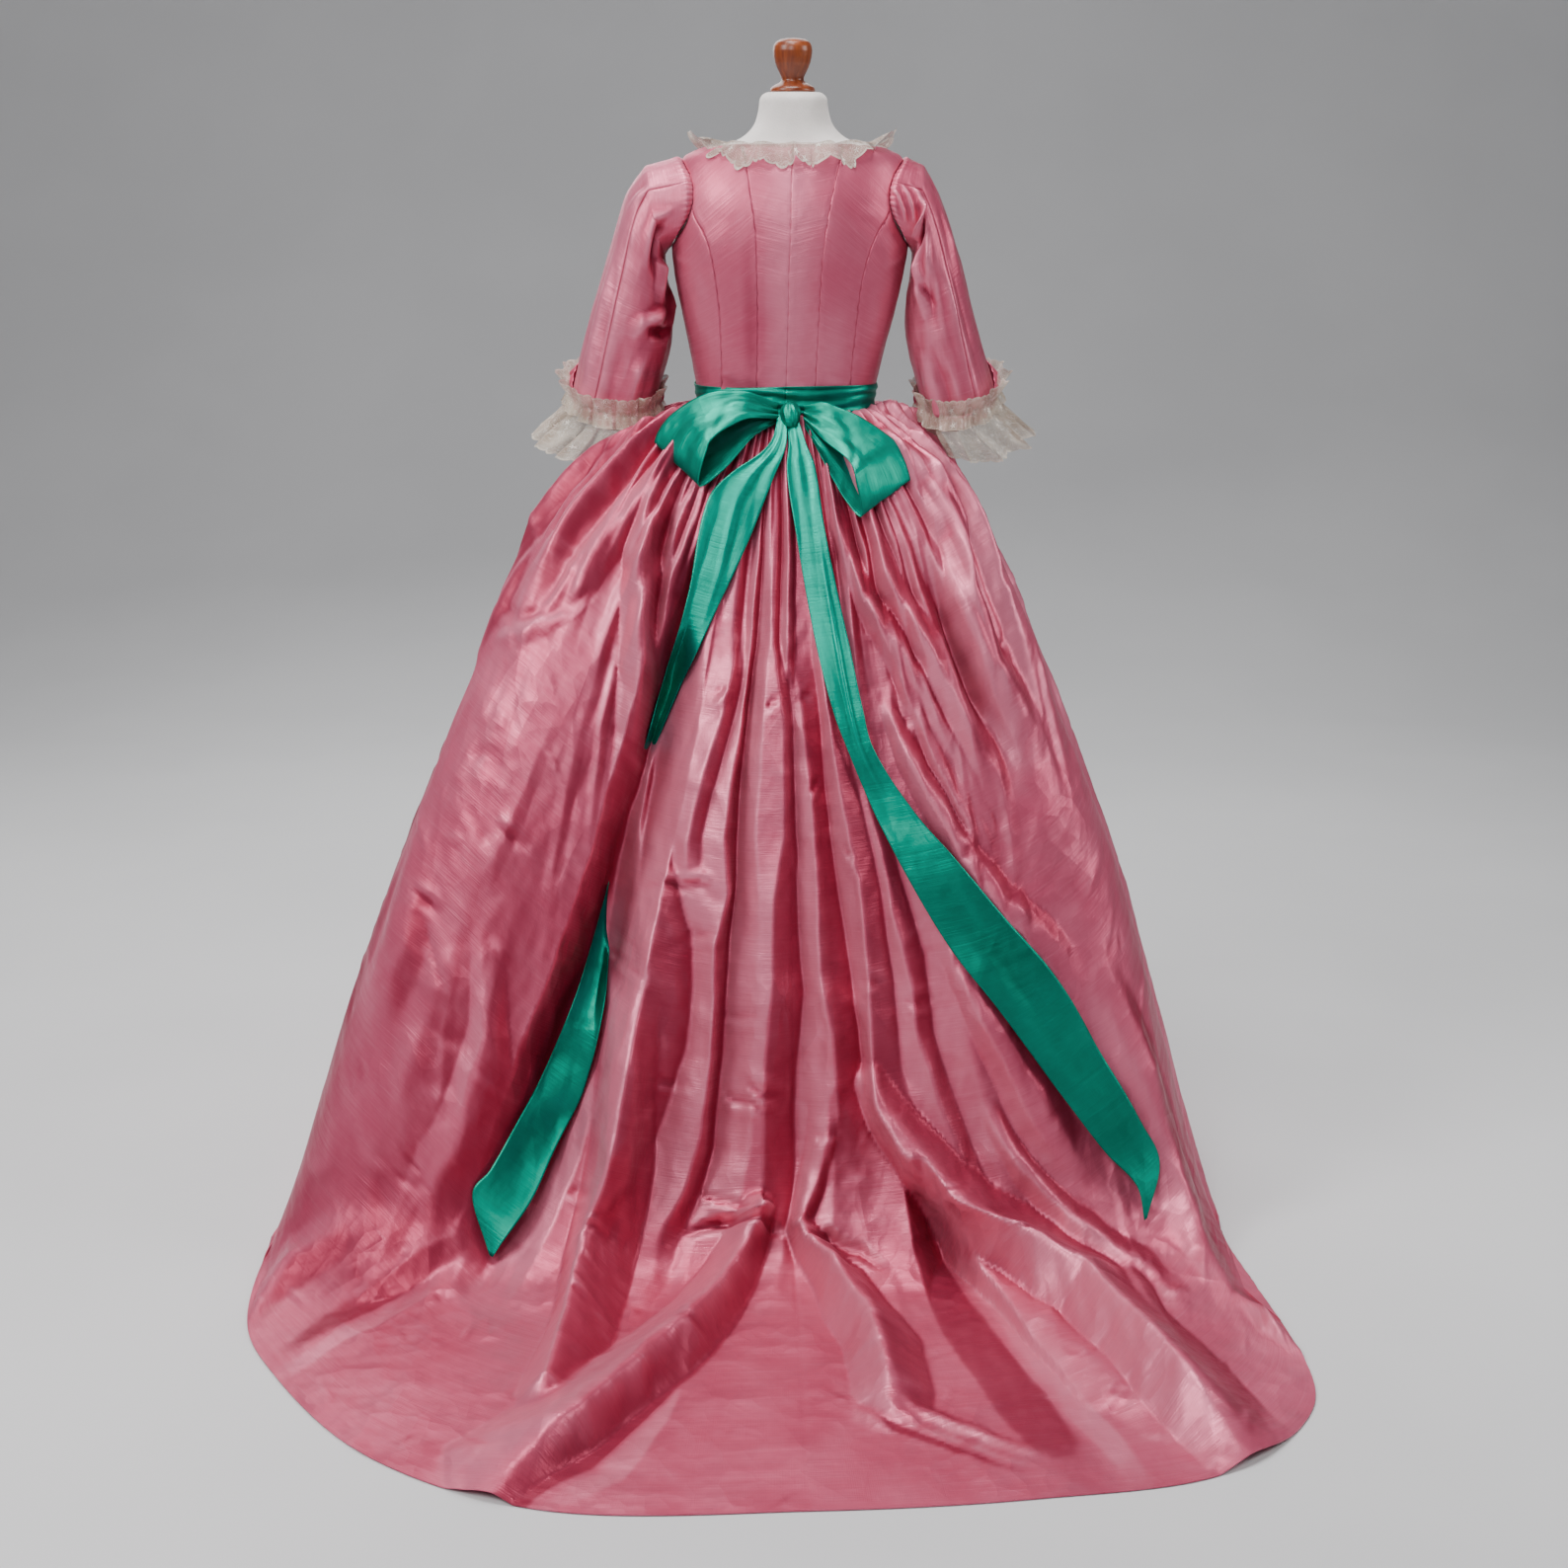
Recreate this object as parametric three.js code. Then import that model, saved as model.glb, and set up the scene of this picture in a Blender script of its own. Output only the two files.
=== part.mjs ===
// A robe a l'anglaise on its limbless dress form, millimetres, +Z up.
// The origin is on the floor at the centre of the stand's base. The garment's back and its train face -Y,
// the wearer's left is -X. Every cloth piece is a wall: a grid of points on its underside and the same
// grid moved out by the thickness. Neighbouring pieces keep a small gap at their seams.
import * as THREE from 'three';

// ---------- driving dimensions ----------
const clothThick = 2;          // silk of gown and petticoat
const silkThick = 1.6;         // sash ribbon
const laceThick = 1.2;         // lace with its gathers
const seamGap = 0.4;           // between two pieces along a seam
const skirtSeamGap = 1;        // wider, for the facets of the big panels
const layGap = 0.5;            // between a piece and what it lies on

const waistHeight = 1106;      // where the skirt is gathered to the bodice
const bodiceFoot = waistHeight + clothThick + layGap;
const neckHeight = 1470;       // back neckline
const shoulderHeight = 1465;   // neckline at the shoulder seam
const frontNeckHeight = 1330;  // square front neckline
const roundness = 2.3;         // exponent of the torso's sections, 2 is an ellipse

const armholeHeight = 1393;
const armholeRise = 58;
const armholeTurn = 26;        // half of the armhole's width, as degrees round the torso

const baseRadius = 190;
const baseTop = 52;
const standGap = 0.4;          // between base, pole, form and finial
const poleRadius = 16;
const formFoot = 880;
const neckTop = 1540;
const neckCentre = 8;          // the form leans a little to +X

const silkPink = { color: 0xc97a93, roughness: 0.45 };
const sashGreen = { color: 0x08a184, roughness: 0.4 };
const laceCream = { color: 0xd8ccbf, roughness: 0.9 };
const formWhite = { color: 0xe0d9d6, roughness: 0.8 };
const turnedWood = { color: 0x8b4420, roughness: 0.35 };

const degree = Math.PI / 180;
const group = new THREE.Group();

// ---------- helpers ----------
const mix = (a, b, t) => a + (b - a) * t;
const clamp = (x, low, high) => Math.min(high, Math.max(low, x));
const steps = (count) => Array.from({ length: count + 1 }, (_, i) => i / count);
const ease = (t) => t * t * (3 - 2 * t);

// smooth curve through the named column of a table's rows, keyed by another column
function column(table, key, name) {
  const xs = table.map((row) => row[key]);
  const ys = table.map((row) => row[name]);
  const last = xs.length - 1;
  const slope = (i) => {
    const a = Math.max(0, i - 1);
    const b = Math.min(last, i + 1);
    return (ys[b] - ys[a]) / (xs[b] - xs[a]);
  };
  return (x) => {
    const at = clamp(x, xs[0], xs[last]);
    let i = 0;
    while (i < last - 1 && at > xs[i + 1]) i += 1;
    const width = xs[i + 1] - xs[i];
    const t = (at - xs[i]) / width;
    const rise = t * t * (3 - 2 * t);
    const lead = t * (1 - t) * (1 - t);
    const trail = -t * t * (1 - t);
    return mix(ys[i], ys[i + 1], rise) + width * (lead * slope(i) + trail * slope(i + 1));
  };
}

const columns = (table, key, names) => Object.fromEntries(names.map((n) => [n, column(table, key, n)]));

// normal of a surface given as a function of two numbers, by small steps
function normalOf(surface, u, v, du, dv) {
  const along = surface(u + du, v).sub(surface(u - du, v));
  const up = surface(u, v + dv).sub(surface(u, v - dv));
  return along.cross(up).normalize();
}

function lengthsOf(points) {
  const lengths = [0];
  for (let i = 1; i < points.length; i += 1) lengths.push(lengths[i - 1] + points[i].distanceTo(points[i - 1]));
  return lengths;
}

function pointAlong(points, lengths, length) {
  let i = 0;
  while (i < points.length - 2 && length > lengths[i + 1]) i += 1;
  return points[i].clone().lerp(points[i + 1], (length - lengths[i]) / (lengths[i + 1] - lengths[i]));
}

function addMesh(name, look, points, triangles) {
  const geometry = new THREE.BufferGeometry();
  const numbers = points.flatMap((p) => [p.x, p.y, p.z]);
  geometry.setAttribute('position', new THREE.Float32BufferAttribute(numbers, 3));
  geometry.setIndex(triangles);
  const mesh = new THREE.Mesh(geometry, new THREE.MeshStandardMaterial({ ...look, metalness: 0 }));
  mesh.name = name;
  group.add(mesh);
}

// closed wall between two grids of points, grid[i][j]; a ring joins its last column to its first
function addWall(name, look, under, over, ring = false) {
  const across = under.length;
  const rows = under[0].length;
  const points = [...under.flat(), ...over.flat()];
  const low = (i, j) => (i % across) * rows + j;
  const high = (i, j) => across * rows + low(i, j);
  const triangles = [];
  const quad = (a, b, c, d) => triangles.push(a, b, c, a, c, d);
  const cells = ring ? across : across - 1;
  for (let i = 0; i < cells; i += 1) {
    for (let j = 0; j < rows - 1; j += 1) {
      quad(high(i, j), high(i + 1, j), high(i + 1, j + 1), high(i, j + 1));
      quad(low(i, j), low(i, j + 1), low(i + 1, j + 1), low(i + 1, j));
    }
    quad(low(i, 0), low(i + 1, 0), high(i + 1, 0), high(i, 0));
    quad(low(i + 1, rows - 1), low(i, rows - 1), high(i, rows - 1), high(i + 1, rows - 1));
  }
  if (!ring) {
    for (let j = 0; j < rows - 1; j += 1) {
      quad(low(0, j + 1), low(0, j), high(0, j), high(0, j + 1));
      quad(low(across - 1, j), low(across - 1, j + 1), high(across - 1, j + 1), high(across - 1, j));
    }
  }
  if (volumeOf(points, triangles) < 0) triangles.reverse();
  addMesh(name, look, points, triangles);
}

function volumeOf(points, triangles) {
  let volume = 0;
  for (let i = 0; i < triangles.length; i += 3) {
    const [a, b, c] = [0, 1, 2].map((k) => points[triangles[i + k]]);
    volume += a.dot(b.clone().cross(c)) / 6;
  }
  return volume;
}

// moves the side columns of an open grid inwards, so that its neighbour along the seam stays clear
function trimSides(under, over, gap = seamGap) {
  const last = under.length - 1;
  for (let j = 0; j < under[0].length; j += 1) {
    for (const [edge, next] of [[0, 1], [last, last - 1]]) {
      const inward = under[next][j].clone().sub(under[edge][j]).setLength(gap / 2);
      under[edge][j].add(inward);
      over[edge][j].add(inward);
    }
  }
}

// wall of a surface between given numbers, moved out from the surface by lift
function addPatch(name, look, surface, us, vs, thick, lift = 0, ring = false) {
  const du = 0.002 * (us[us.length - 1] - us[0]);
  const dv = 0.002 * (vs[vs.length - 1] - vs[0]);
  const at = (u, v, out) => surface(u, v).addScaledVector(normalOf(surface, u, v, du, dv), out);
  const sign = Math.sign(du * dv);
  const under = us.map((u) => vs.map((v) => at(u, v, sign * lift)));
  const over = us.map((u) => vs.map((v) => at(u, v, sign * (lift + thick))));
  if (!ring) trimSides(under, over);
  addWall(name, look, under, over, ring);
}

// solid turned about a vertical axis from radius and height rows, first and last on the axis
function addTurned(name, look, x, profile, sides) {
  const turned = new THREE.LatheGeometry(profile.map((p) => new THREE.Vector2(p.radius, p.height)), sides);
  turned.rotateX(Math.PI / 2);
  turned.translate(x, 0, 0);
  const mesh = new THREE.Mesh(turned, new THREE.MeshStandardMaterial({ ...look, metalness: 0 }));
  mesh.name = name;
  group.add(mesh);
}

// ---------- torso: sections of the bodice's underside, and the dress form's room inside it ----------
const torsoSections = [
  { height: 880, mid: -3, half: 150, back: 118, front: 112, room: 2.4 },
  { height: 940, mid: -3, half: 168, back: 132, front: 124, room: 2.4 },
  { height: 1000, mid: -3, half: 160, back: 124, front: 118, room: 2.4 },
  { height: 1060, mid: -3, half: 136, back: 102, front: 104, room: 2.4 },
  { height: 1106, mid: -3, half: 122, back: 88, front: 95, room: 3 },
  { height: 1180, mid: -1, half: 133, back: 92, front: 105, room: 3.8 },
  { height: 1240, mid: 1, half: 147, back: 98, front: 122, room: 4.4 },
  { height: 1300, mid: 2, half: 159, back: 103, front: 134, room: 4.5 },
  { height: 1350, mid: 4, half: 164, back: 105, front: 128, room: 5 },
  { height: 1400, mid: 5, half: 161, back: 100, front: 100, room: 5.5 },
  { height: 1432, mid: 6, half: 157, back: 90, front: 76, room: 7.5 },
  { height: 1453, mid: 7, half: 149, back: 79, front: 55, room: 9 },
  { height: 1463, mid: 7, half: 130, back: 72, front: 47, room: 9 },
  { height: 1470, mid: 7, half: 108, back: 66, front: 43, room: 7 },
  { height: 1477, mid: 8, half: 80, back: 58, front: 41, room: 3 },
  { height: 1492, mid: 8, half: 58, back: 50, front: 42, room: 0 },
  { height: 1512, mid: 8, half: 49, back: 47, front: 43, room: 0 },
  { height: neckTop, mid: neckCentre, half: 46, back: 46, front: 44, room: 0 },
];
const torso = columns(torsoSections, 'height', ['mid', 'half', 'back', 'front', 'room']);

// point of the torso at a turn in degrees, 0 at the centre back and 90 at the +X side
function torsoPoint(turn, height, shrink = 0) {
  const s = Math.sin(turn * degree);
  const c = Math.cos(turn * degree);
  const deep = c > 0 ? torso.back(height) : torso.front(height);
  const reach = (Math.abs(s) / torso.half(height)) ** roundness + (Math.abs(c) / deep) ** roundness;
  const radius = reach ** (-1 / roundness) - shrink;
  return new THREE.Vector3(torso.mid(height) + radius * s, -radius * c, height);
}

// turn at which the back of the torso is this far from its middle
function turnAt(offset, height) {
  let low = 0;
  let high = 90;
  for (let i = 0; i < 30; i += 1) {
    const middle = (low + high) / 2;
    if (torsoPoint(middle, height).x - torso.mid(height) < offset) low = middle;
    else high = middle;
  }
  return low;
}

function addForm() {
  const heights = [formFoot, 920, 970, 1020, 1065, 1106, 1180, 1250, 1310, 1360, 1400, 1430, 1450, 1461,
    1470, 1478, 1490, 1512, neckTop];
  const sides = 32;
  const points = [];
  const triangles = [];
  for (const height of heights) {
    for (let i = 0; i < sides; i += 1) points.push(torsoPoint((i * 360) / sides, height, torso.room(height)));
  }
  for (let j = 0; j < heights.length - 1; j += 1) {
    for (let i = 0; i < sides; i += 1) {
      const next = (i + 1) % sides;
      const [a, b] = [j * sides + i, j * sides + next];
      triangles.push(a, b, b + sides, a, b + sides, a + sides);
    }
  }
  const foot = points.push(new THREE.Vector3(0, 0, formFoot)) - 1;
  const top = points.push(new THREE.Vector3(neckCentre, 0, neckTop)) - 1;
  const topRow = (heights.length - 1) * sides;
  for (let i = 0; i < sides; i += 1) {
    const next = (i + 1) % sides;
    triangles.push(foot, next, i, top, topRow + i, topRow + next);
  }
  addMesh('form_torso', formWhite, points, triangles);
}

function addStand() {
  addTurned('stand_base', turnedWood, 0, [
    { radius: 0, height: 0 }, { radius: baseRadius - 4, height: 0 }, { radius: baseRadius, height: 5 },
    { radius: baseRadius, height: 18 }, { radius: baseRadius - 12, height: 27 }, { radius: 60, height: 34 },
    { radius: 42, height: baseTop }, { radius: 0, height: baseTop },
  ], 40);
  addTurned('stand_pole', turnedWood, 0, [
    { radius: 0, height: baseTop + standGap }, { radius: 28, height: baseTop + standGap },
    { radius: 28, height: 66 },
    { radius: poleRadius, height: 76 }, { radius: poleRadius, height: 820 }, { radius: 34, height: 842 },
    { radius: 34, height: formFoot - standGap }, { radius: 0, height: formFoot - standGap },
  ], 24);
  addTurned('neck_finial', turnedWood, neckCentre - 1, [
    { radius: 0, height: neckTop + standGap }, { radius: 33, height: neckTop + standGap },
    { radius: 34, height: 1545 },
    { radius: 28, height: 1551 }, { radius: 16, height: 1559 }, { radius: 12.5, height: 1570 },
    { radius: 15, height: 1580 }, { radius: 23, height: 1589 }, { radius: 26, height: 1598 },
    { radius: 22, height: 1606 }, { radius: 12, height: 1610 }, { radius: 0, height: 1611 },
  ], 28);
}

// ---------- bodice: pieces cut between seams, as places of turn and height on the torso ----------
// the seams' distance from the middle of the back
const innerSeam = [
  { height: bodiceFoot, offset: 41 }, { height: 1200, offset: 41 }, { height: 1340, offset: 46 },
  { height: 1410, offset: 56 }, { height: neckHeight, offset: 68 },
];
const curvedSeam = [
  { height: bodiceFoot, offset: 87 }, { height: 1200, offset: 91 }, { height: 1285, offset: 99 },
  { height: 1345, offset: 114 }, { height: 1385, offset: 138 },
];
const backArmhole = 98;        // angle round the armhole where the curved seam meets it
// the front neckline, from the shoulder down the strap and across to the centre
const frontCorner = { turn: 136, height: frontNeckHeight + 4 };
const strapEdge = [
  { turn: 134, height: 1372 }, { turn: 130, height: 1404 }, { turn: 124, height: 1430 },
  { turn: 115, height: 1448 }, { turn: 102, height: 1459 },
];
const shoulderSplit = 0.3;     // degrees from the shoulder line to each piece's edge

const place = (turn, height) => ({ turn, height });
const mixPlace = (a, b, t) => place(mix(a.turn, b.turn, t), mix(a.height, b.height, t));
const straight = (a, b, count) => steps(count).map((t) => mixPlace(a, b, t));

function seamPlaces(table, end, count) {
  const offset = column(table, 'height', 'offset');
  return steps(count).map((t) => {
    const height = mix(bodiceFoot, end.height, t);
    return t === 1 ? end : place(turnAt(offset(height), height), height);
  });
}

// place on the armhole's edge: 0 at the shoulder, 90 at the back, 180 under the arm, 270 at the front
function armholePlace(angle) {
  const turn = 90 - armholeTurn * Math.sin(angle * degree);
  return place(turn, armholeHeight + armholeRise * Math.cos(angle * degree));
}
const armholePlaces = (from, to, count) => steps(count).map((t) => armholePlace(mix(from, to, t)));

// a piece between four edges, all in places; left and right run up, foot and top run across
function addBodicePiece(name, left, right, top, side) {
  const across = top.length - 1;
  const up = left.length - 1;
  const foot = straight(left[0], right[0], across);
  const net = foot.map((_, i) => left.map((__, j) => {
    const s = i / across;
    const t = j / up;
    const blend = (key) => mix(left[j][key], right[j][key], s) + mix(foot[i][key], top[i][key], t)
      - mix(mix(left[0][key], right[0][key], s), mix(left[up][key], right[up][key], s), t);
    return place(side * blend('turn'), blend('height'));
  }));
  const surface = (turn, height) => torsoPoint(turn, height);
  const out = (p) => normalOf(surface, p.turn, p.height, 0.2, 0.5);
  const under = net.map((line) => line.map((p) => surface(p.turn, p.height)));
  const over = net.map((line, i) => (
    line.map((p, j) => under[i][j].clone().addScaledVector(out(p), clothThick))
  ));
  trimSides(under, over);
  addWall(name, silkPink, under, over);
}

function addBodice() {
  const neckInner = place(turnAt(68, neckHeight), neckHeight);
  const shoulderBack = place(90 - shoulderSplit, shoulderHeight);
  const shoulderFront = place(90 + shoulderSplit, shoulderHeight);
  const tip = armholePlace(0).height;
  const meet = armholePlace(backArmhole);
  const inner = seamPlaces(innerSeam, neckInner, 7);
  const curved = seamPlaces(curvedSeam, meet, 5);
  const backHole = armholePlaces(backArmhole, 0, 5);
  const frontHole = armholePlaces(180, 360, 8);
  const under = armholePlace(180);
  for (const side of [-1, 1]) {
    const hand = side < 0 ? 'left' : 'right';
    const centre = straight(place(0, bodiceFoot), place(0, neckHeight), 7);
    addBodicePiece(`bodice_back_${hand}`, centre, inner, straight(centre[7], neckInner, 3), side);
    const sideBackLeft = [...inner, ...straight(neckInner, shoulderBack, 3).slice(1)];
    const sideBackRight = [...curved, ...backHole.slice(1, -1), place(90 - shoulderSplit, tip)];
    addBodicePiece(`bodice_sideback_${hand}`, sideBackLeft, sideBackRight,
      straight(shoulderBack, place(90 - shoulderSplit, tip), 3), side);
    const seam = straight(place(90, bodiceFoot), under, 5);
    addBodicePiece(`bodice_side_${hand}`, curved, seam, armholePlaces(backArmhole, 180, 3), side);
    const frontRight = [...straight(place(180, bodiceFoot), place(180, frontNeckHeight), 5),
      ...straight(place(180, frontNeckHeight), frontCorner, 2).slice(1),
      ...strapEdge, shoulderFront];
    const frontLeft = [...seam, ...frontHole.slice(1, -1), place(90 + shoulderSplit, tip)];
    addBodicePiece(`bodice_front_${hand}`, frontLeft, frontRight,
      straight(place(90 + shoulderSplit, tip), shoulderFront, 6), side);
  }
}

// ---------- sleeves: rings from the armhole to the elbow ----------
// outer and inner end of each ring in X and Z, its half depth in Y, and how much higher its front is
const sleeveRings = {
  left: [
    { along: 0.2, outX: 196, outZ: 1441, inX: 173, inZ: 1322, deep: 64, tilt: 0 },
    { along: 0.38, outX: 224, outZ: 1400, inX: 171, inZ: 1296, deep: 66, tilt: 0.02 },
    { along: 0.58, outX: 251, outZ: 1316, inX: 166, inZ: 1256, deep: 66, tilt: 0.08 },
    { along: 0.78, outX: 280, outZ: 1225, inX: 166, inZ: 1200, deep: 64, tilt: 0.2 },
    { along: 1, outX: 303, outZ: 1137, inX: 188, inZ: 1122, deep: 60, tilt: 0.42 },
  ],
  right: [
    { along: 0.2, outX: 188, outZ: 1441, inX: 177, inZ: 1322, deep: 62, tilt: 0 },
    { along: 0.38, outX: 210, outZ: 1400, inX: 174, inZ: 1296, deep: 64, tilt: 0.02 },
    { along: 0.58, outX: 240, outZ: 1316, inX: 168, inZ: 1256, deep: 63, tilt: 0.08 },
    { along: 0.78, outX: 265, outZ: 1225, inX: 170, inZ: 1200, deep: 61, tilt: 0.2 },
    { along: 1, outX: 292, outZ: 1137, inX: 192, inZ: 1118, deep: 58, tilt: 0.42 },
  ],
};
const ringKeys = ['outX', 'outZ', 'inX', 'inZ', 'deep', 'tilt'];
const headLift = clothThick + 2.6;   // a sleeve's head stands this far off the bodice's underside
const sleeveSeam = 62;         // angle from the outer line to the seams, at the back and the front

// angle round a sleeve: 0 at its outer line, 90 at the back, 180 at its inner line
function ringPoint(ring, angle, side) {
  const c = Math.cos(angle * degree);
  const back = Math.sin(angle * degree) * ring.deep;
  const x = mix(ring.inX, ring.outX, (1 + c) / 2);
  const z = mix(ring.inZ, ring.outZ, (1 + c) / 2) - back * ring.tilt;
  return new THREE.Vector3(side * x, -back, z);
}

function sleeveSurface(side) {
  const rings = columns(sleeveRings[side < 0 ? 'left' : 'right'], 'along', ringKeys);
  const first = sleeveRings.left[0].along;
  const lofted = (angle, along) => {
    const ring = Object.fromEntries(ringKeys.map((key) => [key, rings[key](along)]));
    return ringPoint(ring, angle, side);
  };
  const head = (angle) => {
    const at = armholePlace(angle);
    const out = normalOf(torsoPoint, side * at.turn, at.height, 0.2, 0.5).multiplyScalar(headLift);
    return torsoPoint(side * at.turn, at.height).add(out);
  };
  return (angle, along) => {
    if (along >= first) return lofted(angle, along);
    return head(angle).lerp(lofted(angle, first), along / first);
  };
}

function addSleeves() {
  const rows = [0, 0.2, 0.38, 0.58, 0.78, 1];
  for (const side of [-1, 1]) {
    const hand = side < 0 ? 'left' : 'right';
    const surface = sleeveSurface(side);
    const upper = steps(6).map((t) => mix(-sleeveSeam, sleeveSeam, t));
    const lower = steps(8).map((t) => mix(sleeveSeam, 360 - sleeveSeam, t));
    const outward = side > 0 ? surface : (u, v) => surface(-u, v);
    addPatch(`sleeve_${hand}_upper`, silkPink, outward, upper, rows, clothThick);
    addPatch(`sleeve_${hand}_under`, silkPink, outward, lower, rows, clothThick);
  }
}

// ---------- cuffs: pink ruche, lace heading and lace flounce below each sleeve ----------
const rucheDrop = 20;
const flounceDrop = 66;

// ring under the sleeve's end: drop measured down and less on the inner side, spread outwards, and
// lean away from the skirt; calm takes spread off the inner side
function cuffSurface(side, rows) {
  const end = sleeveSurface(side);
  const shape = columns(rows, 'at', ['drop', 'spread', 'wave', 'lean', 'short']);
  const { waves, calm } = rows[0];
  return (angle, at) => {
    const edge = end(angle, 1);
    const inner = 0.5 - 0.5 * Math.cos(angle * degree);
    const centre = end(0, 1).add(end(180, 1)).multiplyScalar(0.5);
    const out = edge.clone().sub(centre).setZ(0).normalize();
    const ripple = shape.wave(at) * Math.cos(waves * angle * degree);
    edge.addScaledVector(out, (shape.spread(at) + ripple) * (1 - calm * inner));
    edge.x += side * shape.lean(at);
    edge.z -= shape.drop(at) * (1 - shape.short(at) * inner);
    return edge;
  };
}

function addCuffs() {
  const angles = (count) => steps(count).slice(0, count).map((t) => t * 360);
  const gap = 2;
  const ruche = [
    { at: 0, drop: gap, spread: 0, wave: 0, lean: 0, short: 0, waves: 5, calm: 0 },
    { at: 0.5, drop: gap + rucheDrop / 2, spread: 4, wave: 1, lean: 0, short: 0 },
    { at: 1, drop: gap + rucheDrop, spread: 1, wave: 0, lean: 0, short: 0 },
  ];
  const heading = [
    { at: 0, drop: -17, spread: 16, wave: 4, lean: 0, short: 0, waves: 5, calm: 0 },
    { at: 1, drop: -1, spread: clothThick + layGap + 1, wave: 0, lean: 0, short: 0 },
  ];
  const flounceTop = rucheDrop + 2 * gap;
  const flounce = [
    { at: 0, drop: flounceTop, spread: 1, wave: 0, lean: 0, short: 0, waves: 6, calm: 0.8 },
    { at: 0.5, drop: flounceTop + flounceDrop / 2, spread: 16, wave: 3, lean: 21, short: 0.5 },
    { at: 1, drop: flounceTop + flounceDrop, spread: 25, wave: 6, lean: 43, short: 0.6 },
  ];
  for (const side of [-1, 1]) {
    const hand = side < 0 ? 'left' : 'right';
    const turned = (surface) => (side > 0 ? surface : (u, v) => surface(-u, v));
    const rings = (rows) => turned(cuffSurface(side, rows));
    addPatch(`cuff_ruche_${hand}`, silkPink, rings(ruche), angles(20), steps(1), clothThick, 0, true);
    addPatch(`cuff_heading_${hand}`, laceCream, rings(heading), angles(20), steps(1), laceThick, 0, true);
    addPatch(`cuff_flounce_${hand}`, laceCream, rings(flounce), angles(24), steps(2), laceThick, 0, true);
  }
}

// ---------- neck lace: a ruffle all round the neckline ----------
// places round half of the neckline, from the centre back to the centre front
const necklinePlaces = [place(0, neckHeight), place(33, neckHeight), place(66, neckHeight),
  place(90, shoulderHeight), ...[...strapEdge].reverse(), frontCorner, place(158, frontNeckHeight),
  place(180, frontNeckHeight)];
// along that path: how far the free edge stands out from the neckline, and how much it rises above it
const laceEdge = columns([
  { along: 0, out: 23, rise: -20 }, { along: 0.2, out: 24, rise: -12 }, { along: 0.27, out: 24, rise: 8 },
  { along: 0.35, out: 14, rise: 26 }, { along: 0.46, out: 10, rise: 20 }, { along: 0.58, out: 12, rise: 8 },
  { along: 0.76, out: 14, rise: -6 }, { along: 0.88, out: 14, rise: -14 }, { along: 1, out: 14, rise: -16 },
], 'along', ['out', 'rise']);
const laceStand = 0.6;           // height of the gathered edge above the neckline
const laceWaves = 6;           // in each half

const neckline = (() => {
  const points = necklinePlaces.map((p) => torsoPoint(p.turn, p.height));
  const lengths = lengthsOf(points);
  const rows = necklinePlaces.map((p, i) => ({ ...p, along: lengths[i] / lengths[lengths.length - 1] }));
  return (along) => {
    const next = Math.max(1, rows.findIndex((row) => row.along >= along));
    const [a, b] = [rows[next - 1], rows[next]];
    return mixPlace(a, b, (along - a.along) / (b.along - a.along));
  };
})();

// round runs from -1 to 1, negative on the left half, and 0 is the centre back
function neckLacePoint(round, at) {
  const wrapped = round > 1 ? round - 2 : (round < -1 ? round + 2 : round);
  const along = Math.abs(wrapped);
  const spot = neckline(along);
  const turn = spot.turn * Math.sign(wrapped);
  const base = torsoPoint(turn, spot.height);
  const out = new THREE.Vector3(base.x - torso.mid(spot.height), base.y, 0).normalize();
  base.addScaledVector(normalOf(torsoPoint, turn, spot.height, 0.2, 0.5), clothThick + layGap);
  const wave = Math.cos(2 * laceWaves * Math.PI * along) * at;
  const bow = 2 * at * (1 - at);
  const reach = bow * 12 + at * at * laceEdge.out(along) + wave * 4;
  const rise = (1 - at) ** 2 * laceStand + bow * 8 + at * at * laceEdge.rise(along) + wave * 3;
  return base.addScaledVector(out, reach).add(new THREE.Vector3(0, 0, rise));
}

function addNeckLace() {
  const rounds = steps(48).slice(0, 48).map((t) => 2 * t - 1);
  addPatch('neck_lace', laceCream, (u, v) => neckLacePoint(u, 1 - v), rounds, steps(2), laceThick, 0, true);
}

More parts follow.
